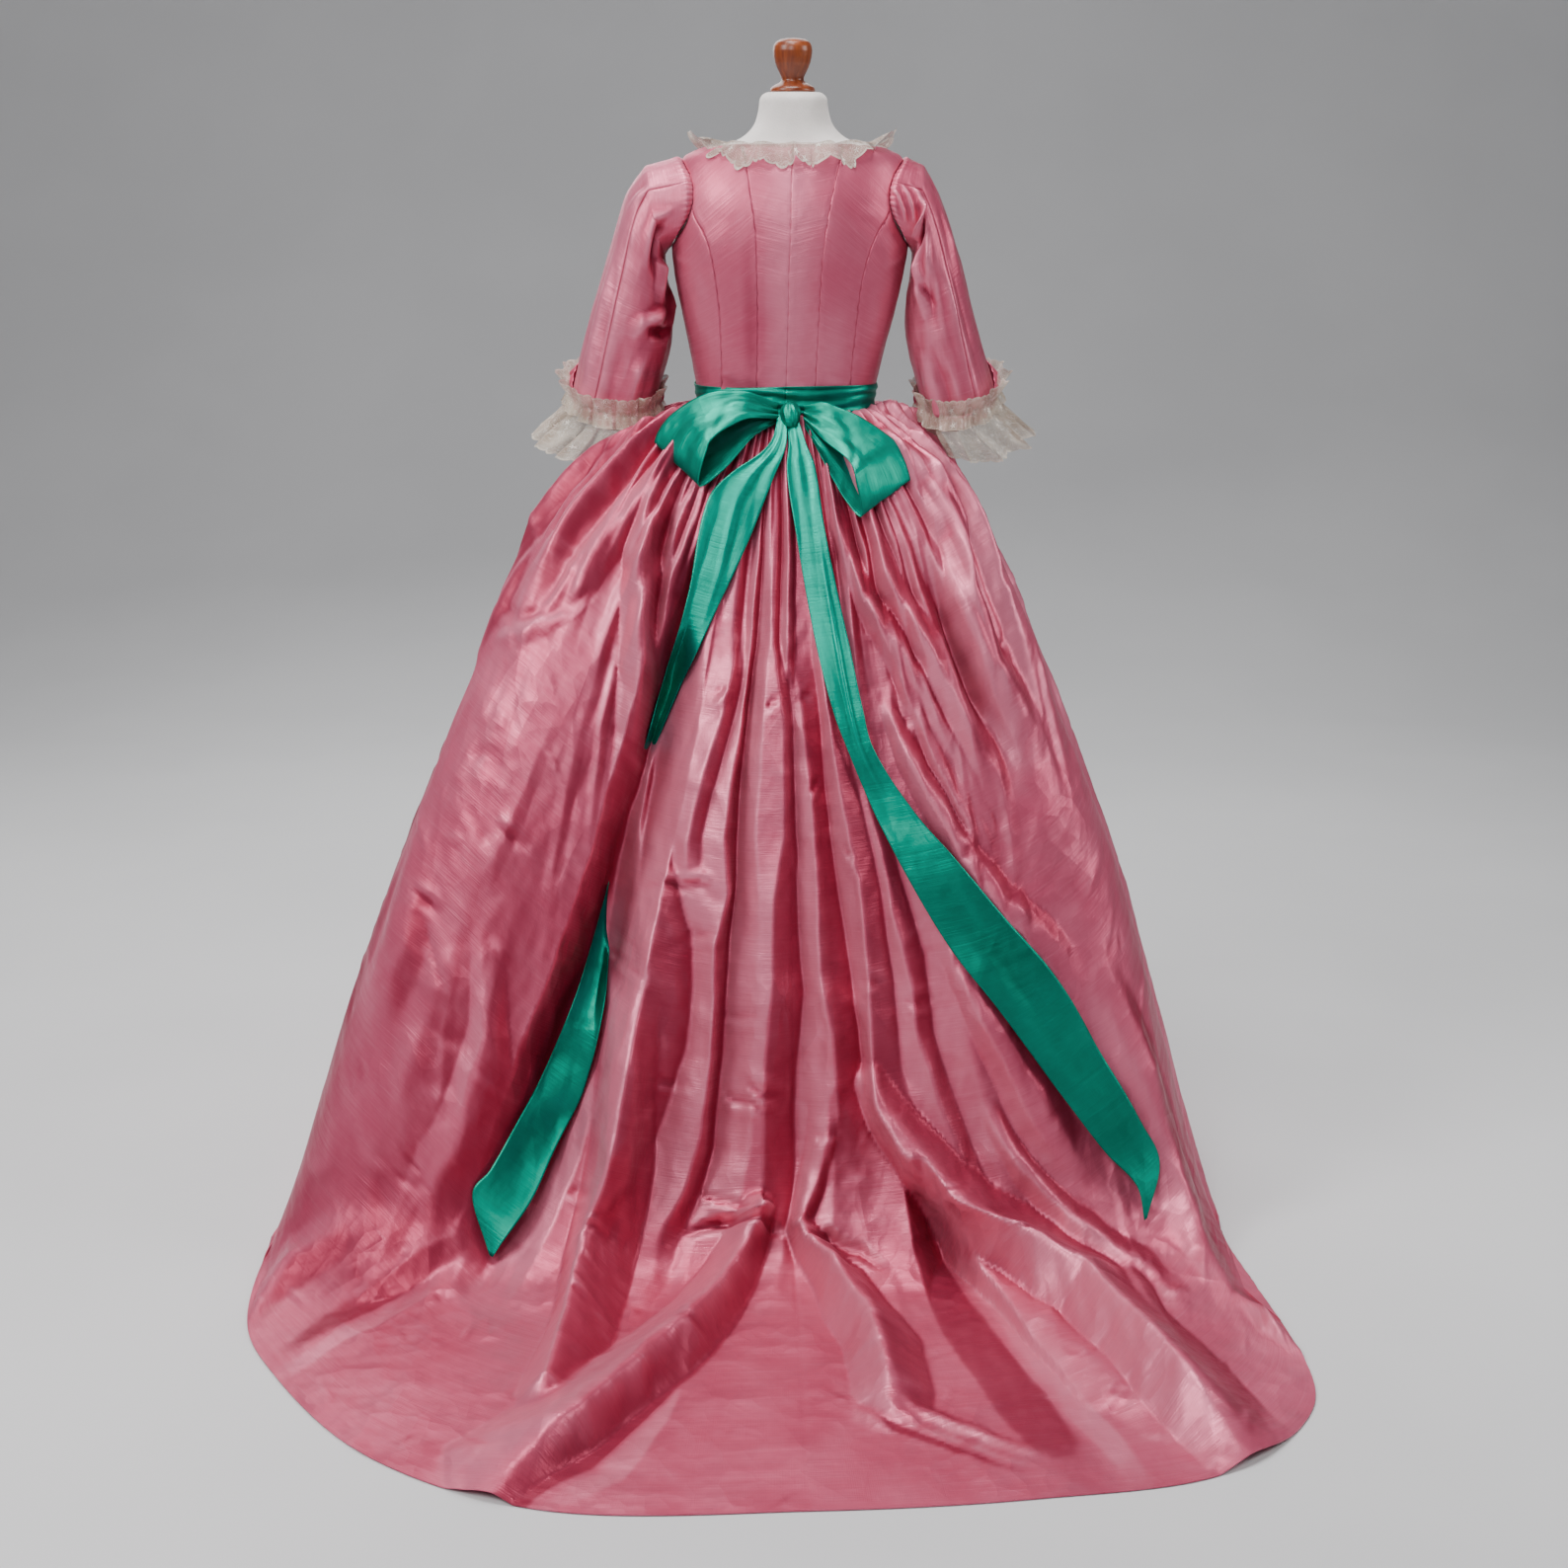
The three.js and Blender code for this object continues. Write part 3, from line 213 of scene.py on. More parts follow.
def silkMaterial(name, silk):
    # crisp silk: the weft has slubs and bars, the warp is finer, the whole cloth is lightly crumpled, and
    # the attribute fold paints shade into the hollows, where it is under 0, and a highlight on the crests,
    # where it is over 0
    glow, slubs, metal, crush = silk["glow"], silk["slubs"], silk["metal"], silk["crush"]
    material, flat, solid, feed = newMaterial(name, {
        "Sheen Weight": 0.04, "Sheen Roughness": 0.4, "Sheen Tint": (*glow, 1),
        "Specular IOR Level": 0.35 * (1 - metal) + 0.05})
    weft = flat.at(weave["weft"]).noise(1.0, 2.0, 0.6)
    slub = flat.at(weave["slub"], move=(3.1, 7.7, 0)).noise(1.0, 3.0, 0.7)
    bars = flat.at(weave["bars"], move=(1.3, 2.9, 0)).noise(1.0, 3.0, 0.65)
    warp = flat.at(weave["warp"]).noise(1.0, 1.0, 0.5)
    cloud = solid.noise(3.4, 3.0, 0.55)
    patch = solid.noise(14.0, 3.0, 0.6)
    streak = slub.between(0.5, 0.8) * slubs
    tone = cloud.between(0.3, 0.7).blend(silk["deep"], silk["colour"])
    tone = (patch.between(0.35, 0.7) * 0.14).blend(tone, glow)
    tone = (bars.between(0.45, 0.7) * 0.34 * slubs).blend(tone, silk["deep"])
    tone = (streak * 0.2).blend(tone, glow)
    tone = (weft.between(0.5, 0.75) * 0.3).blend(tone, silk["deep"])
    fold = solid.node("ShaderNodeAttribute", {"attribute_name": "fold", "out": 2})
    # painted shade darkens the hollows towards dark, and painted highlight lightens the crests towards glow
    tone = ((fold * -1.0).between(0.0, 1.0) * 0.85).blend(tone, silk["dark"])
    tone = (fold.between(0.0, 1.0) * 0.5).blend(tone, glow)
    feed("Base Color", tone)
    uneven = (cloud - 0.5) * 0.10
    feed("Roughness", silk["gloss"] + uneven + (weft - 0.5) * 0.2 + (bars - 0.5) * 0.22 - streak * 0.05)
    feed("Metallic", metal + (patch - 0.5) * 0.1)
    bent = solid.at((1, 1, 0.8))
    crease = (bent.noise(15.0, 1.0, 0.4, 0.6) - 0.5).call("ABSOLUTE").between(0.0, 0.34)
    fine = bent.noise(42.0, 2.0, 0.5, 0.5)
    # flat facets between sharp creases, in patches
    tilted = solid.at((1, 1, 0.6), turn=(0.4, 0.3, 0.2))
    facet = tilted.cells(15.0)
    chips = tilted.cells(41.0)
    crumple = (facet + chips * 0.3) * (0.35 + solid.noise(5.0, 2.0).between(0.4, 0.65))
    crushed = bumpOf(crumple, 0.0075 * slubs * crush)
    soft = bumpOf(crease * 0.7 + fine * 0.3, 0.0014 * slubs * (0.4 + 0.6 * crush), crushed)
    feed("Normal", bumpOf(weft * 0.5 + warp * 0.2 + streak * 0.15 + bars * 0.8, 0.0006, soft))
    return material


def laceMaterial(name, lace):
    # net with sprigs: u runs along the strip in metres, v from the gathered edge, 0, to the free edge, 1
    material, flat, solid, feed = newMaterial(name, {"Sheen Weight": 0.3, "Sheen Roughness": 0.6,
                                                     "Specular IOR Level": 0.25})
    along, across = flat.parts()
    real = flat.at((1, lace["depth"], 1))               # both in metres
    thread = real.cells(520.0, "DISTANCE_TO_EDGE", Randomness=0.35).between(0.04, 0.16, 1.0, 0.0)
    warped = real.at((1, 1, 1), move=(0.01, 0.004, 0))
    spots = warped.cells(62.0, Randomness=0.75)
    # five petals round each spot's middle
    centre = spots.beside("Position")
    arm = centre.node("ShaderNodeVectorMath", {"operation": "SUBTRACT"}, i0=warped, i1=centre)
    armX, armY = arm.parts()
    petal = 0.20 + (armY.call("ARCTAN2", armX) * 5.0).call("COSINE") * 0.09
    flower = (petal - spots).between(-0.02, 0.03)
    heart = spots.between(0.045, 0.06)
    ring = (spots - 0.36).call("ABSOLUTE").between(0.0, 0.05, 1.0, 0.0)
    stem = warped.at((1, 1, 1), turn=(0, 0, 0.5)).noise(70.0, 2.0, 0.5, 1.5)
    sprig = (stem - 0.5).call("ABSOLUTE").between(0.0, 0.035, 1.0, 0.0)
    motif = (flower * (0.3 + heart * 0.7)).call("MAXIMUM", ring * 0.55).call("MAXIMUM", sprig * 0.65)
    lobes = ((along * (math.pi / lace["scallop"])).call("SINE").call("ABSOLUTE")) ** 0.6
    rim = 0.93 + lobes * 0.065
    border = (across - (rim - 0.07)).between(0.0, 0.03) * 0.85
    gather = across.between(0.0, 0.07, 1.0, 0.0)
    cover = (lace["veil"] + thread * 0.3).call("MAXIMUM", motif)
    cover = cover.call("MAXIMUM", border).call("MAXIMUM", gather)
    feed("Alpha", cover * (across < rim))
    tint = solid.noise(30.0, 3.0).between(0.35, 0.7)
    body = tint.blend(lace["shadow"], lace["cream"])
    feed("Base Color", (motif.call("MAXIMUM", border * 0.35) * 0.85).blend(body, laceThread))
    feed("Roughness", 0.86 + (tint - 0.5) * 0.1)
    feed("Normal", bumpOf(motif + border + thread * 0.3, 0.0004))
    return material


def jerseyMaterial():
    # fine knit: columns of small loops, a little uneven
    material, _, solid, feed = newMaterial("formJersey", {"Sheen Weight": 0.35, "Sheen Roughness": 0.5})
    loops = solid.at((900, 900, 600)).cells(1.0)
    mottled = solid.noise(18.0, 4.0)
    feed("Base Color", mottled.between(0.3, 0.75).blend((0.74, 0.70, 0.68), (0.86, 0.82, 0.80)))
    feed("Roughness", 0.82 + (mottled - 0.5) * 0.12)
    feed("Normal", bumpOf(loops, 0.0003, bumpOf(mottled, 0.0008)))
    return material


def woodMaterial():
    # turned wood: grain along the axis, red-brown varnish, worn paler in patches
    material, _, solid, feed = newMaterial("turnedWood", {"Coat Roughness": 0.3, "Specular IOR Level": 0.4})
    grain = solid.at((55, 55, 7)).noise(1.0, 5.0, 0.62, 0.8)
    pore = solid.at((420, 420, 30)).noise(1.0, 2.0, 0.6)
    rubbed = solid.noise(22.0, 3.0)
    tone = grain.between(0.32, 0.7).blend((0.14, 0.024, 0.007), (0.30, 0.068, 0.016))
    tone = (pore.between(0.6, 0.75) * 0.5).blend(tone, (0.09, 0.02, 0.01))
    tone = (rubbed.between(0.6, 0.8) * 0.25).blend(tone, (0.36, 0.11, 0.035))
    feed("Base Color", tone)
    feed("Roughness", 0.36 + (rubbed - 0.5) * 0.2)
    feed("Coat Weight", 0.4 - rubbed.between(0.6, 0.8) * 0.3)
    feed("Normal", bumpOf(grain * 0.4 + pore * 0.3, 0.0002))
    return material


def floorMaterial():
    material, _, solid, feed = newMaterial("studioFloor", {"Specular IOR Level": 0.2})
    cloud = solid.noise(1.2, 3.0)
    feed("Base Color", cloud.between(0.3, 0.7).blend((0.70, 0.71, 0.73), (0.74, 0.75, 0.77)))
    feed("Roughness", 0.78 + (cloud - 0.5) * 0.1)
    return material


pinkSilk, smoothSilk, greenSilk = [silkMaterial(name, silk) for name, silk in silks.items()]
cuffLace, headLace, neckLace = [laceMaterial(name, lace) for name, lace in laces.items()]
jersey = jerseyMaterial()
wood = woodMaterial()
print("materials made")


def curve(rows, key, name):
    # smooth line through a column of a table of rows, keyed by another column
    xs = np.array([row[key] for row in rows], float)
    ys = np.array([row[name] for row in rows], float)
    last = len(xs) - 1
    before = np.maximum(np.arange(last + 1) - 1, 0)
    after = np.minimum(np.arange(last + 1) + 1, last)
    slopes = (ys[after] - ys[before]) / (xs[after] - xs[before])

    def value(x):
        x = np.clip(np.asarray(x, float), xs[0], xs[last])
        i = np.clip(np.searchsorted(xs[1:], x, side="left"), 0, last - 1)
        width = xs[i + 1] - xs[i]
        t = (x - xs[i]) / width
        rise = t * t * (3 - 2 * t)
        lead = t * (1 - t) ** 2
        trail = -t * t * (1 - t)
        return ys[i] + (ys[i + 1] - ys[i]) * rise + width * (lead * slopes[i] + trail * slopes[i + 1])

    return value


def table(names, *rows):
    return [dict(zip(names.split(), row)) for row in rows]


def linesOf(rows, key):
    # a smooth line for each of a table's columns but its first
    return {name: curve(rows, key, name) for name in rows[0] if name != key}


def mix(a, b, t):
    return a + (b - a) * t


def ease(t):
    t = np.clip(t, 0, 1)
    return t * t * (3 - 2 * t)


def bell(x):
    return np.where(np.abs(x) < 1, 0.5 + 0.5 * np.cos(np.pi * np.clip(x, -1, 1)), 0.0)


def unit(v):
    return v / np.maximum(np.linalg.norm(v, axis=-1, keepdims=True), 1e-12)


def facing(points, ring=False):
    # unit normals of a grid of points
    if ring:
        wrapped = np.concatenate([points[-2:-1], points, points[1:2]])
        along = wrapped[2:] - wrapped[:-2]
    else:
        along = np.gradient(points, axis=0)
    return unit(np.cross(along, np.gradient(points, axis=1)))


def ripple(x, y, seed, layers=4):
    # smooth seeded waves, about -1 to 1
    rng = np.random.default_rng(seed)
    total = np.zeros(np.broadcast(x, y).shape)
    for k in range(layers):
        a, b, c, d = rng.uniform(-1, 1, 4)
        grow = 1.6 ** k
        total += np.sin(grow * (x * (1 + 0.5 * a) + y * 0.6 * b) + 6 * c) \
            * np.cos(grow * (y * (1 + 0.5 * d) - x * 0.6 * b) + 6 * a) / grow ** 0.7
    return total / 2.0


def ridges(x, y, paths, sharp=0.6, box=0.0):
    # folds as lines of (x, y, height, half width) and maybe lean; where they cross the strongest shows
    up = np.zeros(x.shape)
    down = np.zeros(x.shape)
    for path in paths:
        path = np.array(path, float)
        reach = path[:, 3].max() * 1.7
        near = (x > path[:, 0].min() - reach) & (x < path[:, 0].max() + reach) \
            & (y > path[:, 1].min() - reach) & (y < path[:, 1].max() + reach)
        if not near.any():
            continue
        px, py = x[near], y[near]
        best = np.full(px.shape, 1e9)
        high = np.zeros(px.shape)
        wide = np.ones(px.shape)
        side = np.zeros(px.shape)
        lean = np.zeros(px.shape)
        for a, b in zip(path[:-1], path[1:]):
            run = b[:2] - a[:2]
            long = max(run @ run, 1e-9)
            t = np.clip(((px - a[0]) * run[0] + (py - a[1]) * run[1]) / long, 0, 1)
            dx, dy = px - a[0] - t * run[0], py - a[1] - t * run[1]
            far = np.hypot(dx, dy)
            closer = far < best
            best = np.where(closer, far, best)
            high = np.where(closer, mix(a[2], b[2], t), high)
            wide = np.where(closer, mix(a[3], b[3], t), wide)
            lean = np.where(closer, mix(a[4], b[4], t) if len(a) > 4 else 0.0, lean)
            side = np.where(closer, np.sign(dx), side)
        s = best / (wide * (1 - lean * side))
        # straight flanks with a crest just rounded, and with box a flatter top
        tent = np.clip(1.03 - np.sqrt(s * s + 0.06 ** 2), 0, 1) / 0.97
        if np.ndim(box):
            tent = tent * (1 + box[near])
            tent = np.where(tent > 0.85, 1 - 0.15 * np.exp(-np.maximum(tent - 0.85, 0) / 0.15), tent)
        shape = mix(bell(s), tent, sharp)
        add = high * shape
        up[near] += np.clip(add, 0, None) ** 3
        down[near] += np.clip(-add, 0, None) ** 3
    return np.cbrt(up) - np.cbrt(down)


def smoothed(grid, width, axis):
    # a running mean along one axis, its ends held
    kernel = np.hanning(width)[1:-1]
    half = len(kernel) // 2
    grid = np.moveaxis(grid, axis, 0)
    padded = np.concatenate([grid[:1].repeat(half, 0), grid, grid[-1:].repeat(half, 0)])
    mean = sum(w * padded[k:k + len(grid)] for k, w in enumerate(kernel / kernel.sum()))
    return np.moveaxis(mean, 0, axis)


def relief(height, reach, scale):
    # how far each place lies above or below its surroundings, -1 to 1
    width = 2 * reach + 3
    level = smoothed(smoothed(height, width, 0), width, 1)
    return np.clip((height - level) / scale, -1, 1)


def lie(height, spacing):
    # painted light and shade: faces that turn to the left are painted lighter and those that turn to the
    # right darker, as the lamp on the left lights them
    return np.clip(1.9 * np.gradient(height, axis=0) / spacing, -1, 1)


def lengthsOf(points):
    # how far along a line of points each one is
    return np.concatenate([[0], np.cumsum(np.linalg.norm(np.diff(points, axis=0), axis=1))])


def scaleMap(mesh, size):
    # the primitive's own map, stretched to metres of cloth
    layer = mesh.uv_layers[0].data
    flat = np.empty(len(layer) * 2)
    layer.foreach_get("uv", flat)
    layer.foreach_set("uv", (flat.reshape(-1, 2) * np.array(size)).ravel())


def dress(piece, material):
    piece.data.materials.clear()
    piece.data.materials.append(material)
    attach(piece, "root")


weldGap = 0.00002      # metres between points that are the same one, where a ring closes


def sheetFrom(name, points, material, size, ring=False, thick=0.0, inward=True, shade=None,
              normals=None):
    # a grid primitive whose points are then placed one by one; its map is in metres of cloth
    across, rows = points.shape[:2]
    bpy.ops.object.select_all(action="DESELECT")
    bpy.ops.mesh.primitive_grid_add(x_subdivisions=across - 1, y_subdivisions=rows - 1, size=1)
    piece = bpy.context.object
    piece.name = name
    mesh = piece.data
    mesh.name = name
    mesh.vertices.foreach_set("co", np.ascontiguousarray(points.transpose(1, 0, 2)).ravel() * mm)
    scaleMap(mesh, size)
    # shade is painted shade under 0 and painted highlight over 0, stored as the attribute fold
    if shade is not None:
        fold = mesh.attributes.new("fold", "FLOAT", "POINT")
        fold.data.foreach_set("value", np.ascontiguousarray(shade.T).ravel())
    mesh.update()
    if ring:
        bpy.ops.object.mode_set(mode="EDIT")
        bpy.ops.mesh.select_all(action="SELECT")
        bpy.ops.mesh.remove_doubles(threshold=weldGap)
        bpy.ops.object.mode_set(mode="OBJECT")
    bpy.ops.object.shade_smooth()
    if thick:
        wall = piece.modifiers.new("wall", "SOLIDIFY")
        wall.thickness = thick
        wall.offset = -1 if inward else 0
        wall.use_even_offset = False
        faces = len(mesh.polygons)
        bpy.ops.object.modifier_apply(modifier=wall.name)
        # the cut edges are shaded flat, so no dark line runs along a seam
        mesh.polygons.foreach_set("use_smooth", np.arange(len(mesh.polygons)) < 2 * faces)
        if normals is not None:
            # both sides take these normals, which run on across the seams; the cut edges keep their own
            walls = normals.transpose(1, 0, 2).reshape(-1, 3)
            owners = np.empty(len(mesh.loops), int)
            mesh.loops.foreach_get("vertex_index", owners)
            corners = np.concatenate([walls, -walls])[owners]
            corners[8 * faces:] = 0
            mesh.normals_split_custom_set(corners.tolist())
    dress(piece, material)
    return piece


def finish(node):
    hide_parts(node)


# the form's sections in mm: its middle, half its width, and its depth behind and in front
torsoRows = table(
    "height mid half back front",
    (880, -3, 150, 118, 112), (940, -3, 168, 132, 124), (1000, -3, 160, 124, 118),
    (1060, -3, 136, 102, 104), (1106, -3, 122, 88, 95), (1180, -1, 133, 92, 105),
    (1240, 1, 147, 98, 122), (1300, 2, 159, 103, 134), (1350, 4, 164, 105, 128),
    (1400, 5, 161, 100, 100), (1432, 6, 157, 90, 76), (1453, 7, 149, 79, 55),
    (1463, 7, 130, 72, 47), (1470, 7, 108, 66, 43), (1477, 8, 80, 58, 41),
    (1492, 8, 58, 50, 42), (1512, 8, 49, 47, 43), (1540, 8, 46, 46, 44))
torso = linesOf(torsoRows, "height")
# how far the form's skin keeps in from those sections, under the cloth
roomRows = table("height room", (880, 2.4), (1060, 2.4), (1180, 3.8), (1350, 5), (1432, 7.5), (1453, 9),
                 (1463, 9), (1470, 7), (1477, 3), (1492, 0), (1540, 0))


def torsoAt(turn, height, out=0.0):
    turn, height, out = np.broadcast_arrays(np.asarray(turn, float), np.asarray(height, float), out)
    s, c = np.sin(np.radians(turn)), np.cos(np.radians(turn))
    deep = np.where(c > 0, torso["back"](height), torso["front"](height))
    reach = (np.abs(s) / torso["half"](height)) ** roundness + (np.abs(c) / deep) ** roundness
    radius = reach ** (-1 / roundness) + out
    return np.stack([torso["mid"](height) + radius * s, -radius * c, height], axis=-1)


def torsoFacing(turn, height):
    along = torsoAt(turn + 0.2, height) - torsoAt(turn - 0.2, height)
    up = torsoAt(turn, height + 0.5) - torsoAt(turn, height - 0.5)
    return unit(np.cross(along, up))


def turnAt(offset, height):
    low, high = 0.0, 90.0
    for _ in range(30):
        middle = (low + high) / 2
        if torsoAt(middle, height)[0] - torso["mid"](height) < offset:
            low = middle
        else:
            high = middle
    return low


form = {"foot": 880.0, "top": 1540.0, "corner": 13.0, "lines": 97, "map": (0.9, 0.66)}


def addForm():
    # the jersey-covered form: torso and neck in one turned skin, closed above and below
    foot, top, corner = form["foot"], form["top"], form["corner"]
    turns = np.linspace(0, 360, form["lines"])[:, None]
    # closest together where the shoulders turn over
    heights = np.concatenate([np.linspace(foot, 1430, 34), np.linspace(1436, 1476, 11),
                              np.linspace(1480, top - corner, 12)])[None, :]
    wall = torsoAt(turns, heights, -curve(roomRows, "height", "room")(heights))
    rings = [wall]
    for bend in np.linspace(0, math.pi / 2, 10)[1:]:
        ring = torsoAt(turns, top - corner, -corner * (1 - math.cos(bend)))
        ring[..., 2] = top - corner + corner * math.sin(bend)
        rings.append(ring)
    middle = np.array([torso["mid"](top), 0, top])
    rings += [mix(middle, rings[-1], share) for share in (0.8, 0.5, 0.2, 0.0)]
    under = mix(np.array([0, 0, foot]), wall[:, :1, :], 0.0)
    piece = sheetFrom("form_skin", np.concatenate([under, *rings], axis=1), jersey,
                      form["map"], ring=True)
    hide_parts("form_torso")
    print("form made")


# bodice: eight pieces between seams, placed by turn in degrees and height in mm
bodice = {"foot": 1108.5, "neck": 1470.0, "shoulder": 1465.0, "frontNeck": 1330.0, "lift": 1.9,
          "rows": 56, "lines": 30}
bodiceCuts = {
    "bodice_back": {"cut": (0.085, 0.37), "area": 0.0185},
    "bodice_sideback": {"cut": (0.125, 0.37), "area": 0.027},
    "bodice_side": {"cut": (0.115, 0.25), "area": 0.0215},
    "bodice_front": {"cut": (0.29, 0.37), "area": 0.052},
}
degree = 2.2         # mm of cloth to a degree of turn, about the bodice
hole = {"turn": 90, "inset": 26, "height": 1393, "tall": 58}     # the armhole's oval
innerSeam = table("height offset", (1108.5, 41), (1200, 41), (1340, 46), (1410, 56), (1470, 68))
curvedSeam = table("height offset", (1108.5, 87), (1200, 91), (1285, 99), (1345, 114), (1385, 138))
strapEdge = [(134, 1372), (130, 1404), (124, 1430), (115, 1448), (102, 1459)]
frontCorner = (136, 1334)


def armhole(angle):
    # 0 at the shoulder, 90 at the back
    return (hole["turn"] - hole["inset"] * np.sin(np.radians(angle)),
            hole["height"] + hole["tall"] * np.cos(np.radians(angle)))


def seamLine(rows, end, count):
    offset = curve(rows, "height", "offset")
    places = []
    for t in np.linspace(0, 1, count + 1)[:-1]:
        height = mix(bodice["foot"], end[1], t)
        places.append((turnAt(float(offset(height)), height), height))
    return places + [end]


def straight(a, b, count):
    return [(mix(a[0], b[0], t), mix(a[1], b[1], t)) for t in np.linspace(0, 1, count + 1)]


def resample(places, count):
    # even spacing along a line of places
    p = np.array(places, float)
    at = lengthsOf(p * (degree, 1))
    want = np.linspace(0, at[-1], count)
    return np.stack([np.interp(want, at, p[:, 0]), np.interp(want, at, p[:, 1])], axis=-1)


# wrinkles on the bodice in its own places: (turn, height, mm high, mm half width)
bodiceFolds = {
    "bodice_sideback_left": [
        [(-36, 1128, 0, 6), (-50, 1142, 2.2, 7), (-62, 1148, 0, 7)],
        [(-34, 1146, 0, 6), (-46, 1164, 1.8, 8), (-58, 1172, 0, 8)],
        [(-34, 1118, 0, 5), (-44, 1122, 1.6, 5), (-58, 1124, 0, 6)],
    ],
    "bodice_back_right": [
        [(2, 1150, 0, 7), (14, 1146, 1.6, 7), (27, 1142, 0, 7)],
        [(2, 1132, 0, 6), (12, 1128, 1.2, 6), (26, 1124, 0, 6)],
    ],
    "bodice_sideback_right": [
        [(26, 1140, 0, 6), (38, 1138, 1.8, 7), (54, 1134, 0, 7)],
        [(30, 1158, 0, 6), (40, 1154, 1.2, 7), (52, 1150, 0, 7)],
        [(62, 1370, 0, 6), (52, 1380, 1.6, 8), (44, 1388, 0, 8)],
    ],
    "bodice_side_left": [
        [(-80, 1130, 0, 6), (-70, 1140, 1.6, 7), (-58, 1146, 0, 7)],
        [(-84, 1330, 0, 7), (-74, 1318, 1.8, 8), (-62, 1312, 0, 8)],
    ],
    "bodice_side_right": [
        [(80, 1330, 0, 7), (72, 1316, 1.8, 8), (60, 1308, 0, 8)],
        [(78, 1124, 0, 6), (68, 1130, 1.4, 7), (58, 1132, 0, 7)],
    ],
}
# painted light and shade, where the cloth is painted duller or brighter as the light falls on it: turn,
# height, their half widths, tone
bodicePaintedLight = [
    (-28, 1230, 12, 210, -0.55), (-56, 1260, 26, 200, 0.25), (0, 1240, 34, 420, 0.75),
    (38, 1375, 20, 75, -0.3), (36, 1190, 30, 150, 0.6), (-4, 1420, 50, 60, 0.25),
    (70, 1260, 24, 160, 0.4), (-70, 1260, 24, 160, 0.2),
]


def bodicePiece(name, left, right, foot, top, side):
    # a net between four edges, all given for the wearer's right and mirrored by side
    up, across = bodice["rows"], bodice["lines"]
    left, right = resample(left, up), resample(right, up)
    foot, top = resample(foot, across), resample(top, across)
    s = np.linspace(0, 1, across)[:, None, None]
    t = np.linspace(0, 1, up)[None, :, None]
    net = mix(left[None], right[None], s) + mix(foot[:, None], top[:, None], t) \
        - mix(mix(left[0], right[0], s), mix(left[-1], right[-1], s), t)
    turn, height = net[..., 0] * side, net[..., 1]
    base = torsoAt(turn, height)
    # distance in from the nearest seam
    gap = np.full(turn.shape, 1e9)
    for edge in (base[0], base[-1]):
        away = np.linalg.norm(base[:, :, None] - edge[None, None, ::3], axis=-1)
        gap = np.minimum(gap, away.min(axis=-1))
    seam = 0.65 * np.exp(-(gap / 1.4) ** 2) - 0.3 * np.exp(-((gap - 6.5) / 2.5) ** 2)
    folds = [[(a * degree, b, c, d) for a, b, c, d in path] for path in bodiceFolds.get(name, [])]
    lift = bodice["lift"] + ridges(turn * degree, height, folds, 0.5) - seam
    lift += 0.35 * ripple(turn / 9, height / 26, sum(map(ord, name)) + 3) * np.clip(gap / 9, 0, 1)
    lift += 0.25 * np.cos(height / 4.2 + ripple(turn / 14, height / 60, 11)) * np.exp(-gap / 8)
    points = base + torsoFacing(turn, height) * lift[..., None]
    # painted shade in the hollows of seams and wrinkles and painted highlight on their crests, then painted
    # light and shade by place
    shade = relief(lift, 4, 1.6) * 0.5
    for at, level, wide, tall, tone in bodicePaintedLight:
        shade += tone * bell((turn - at) / wide) * bell((height - level) / tall)
    panel = bodiceCuts[name.rsplit("_", 1)[0]]
    piece = sheetFrom(name + "_cloth", points[::side], smoothSilk, panel["cut"],
                      thick=wallOf["silk"], shade=shade[::side])
    finish(name)


def addBodice():
    foot, neck, shoulder, frontNeck = (bodice[key] for key in ("foot", "neck", "shoulder", "frontNeck"))
    neckInner = (turnAt(68, neck), neck)
    tip = armhole(0)[1]
    meet, under = 98, 180      # where the curved seam and the side seam reach the armhole
    # the shoulder seam is at 90, with a little room between front and back
    shoulderBack, shoulderFront = (89.9, shoulder), (90.1, shoulder)
    tipBack, tipFront = (89.9, tip), (90.1, tip)
    inner = seamLine(innerSeam, neckInner, 24)
    curved = seamLine(curvedSeam, armhole(meet), 24)
    backHole = [armhole(a) for a in np.linspace(meet, 0, 16)]
    frontHole = [armhole(a) for a in np.linspace(under, 360, 30)]
    sideHole = [armhole(a) for a in np.linspace(meet, under, 12)]
    seam = straight((90, foot), armhole(under), 10)
    centre = straight((0, foot), (0, neck), 10)
    frontEdge = straight((180, foot), (180, frontNeck), 8) \
        + straight((180, frontNeck), frontCorner, 6)[1:] + strapEdge + [shoulderFront]
    # each piece's left edge, right edge, foot and top
    pieces = {
        "bodice_back": (centre, inner, straight(centre[0], inner[0], 6), straight(centre[-1], neckInner, 6)),
        "bodice_sideback": (inner + straight(neckInner, shoulderBack, 8)[1:],
                            curved + backHole[1:-1] + [tipBack],
                            straight(inner[0], curved[0], 6), straight(shoulderBack, tipBack, 6)),
        "bodice_side": (curved, seam, straight(curved[0], seam[0], 6), sideHole),
        "bodice_front": (seam + frontHole[1:-1] + [tipFront], frontEdge,
                         straight(seam[0], (180, foot), 6), straight(tipFront, shoulderFront, 6)),
    }
    for side, hand in ((-1, "left"), (1, "right")):
        for name, edges in pieces.items():
            bodicePiece(f"{name}_{hand}", *edges, side)
    print("bodice made")


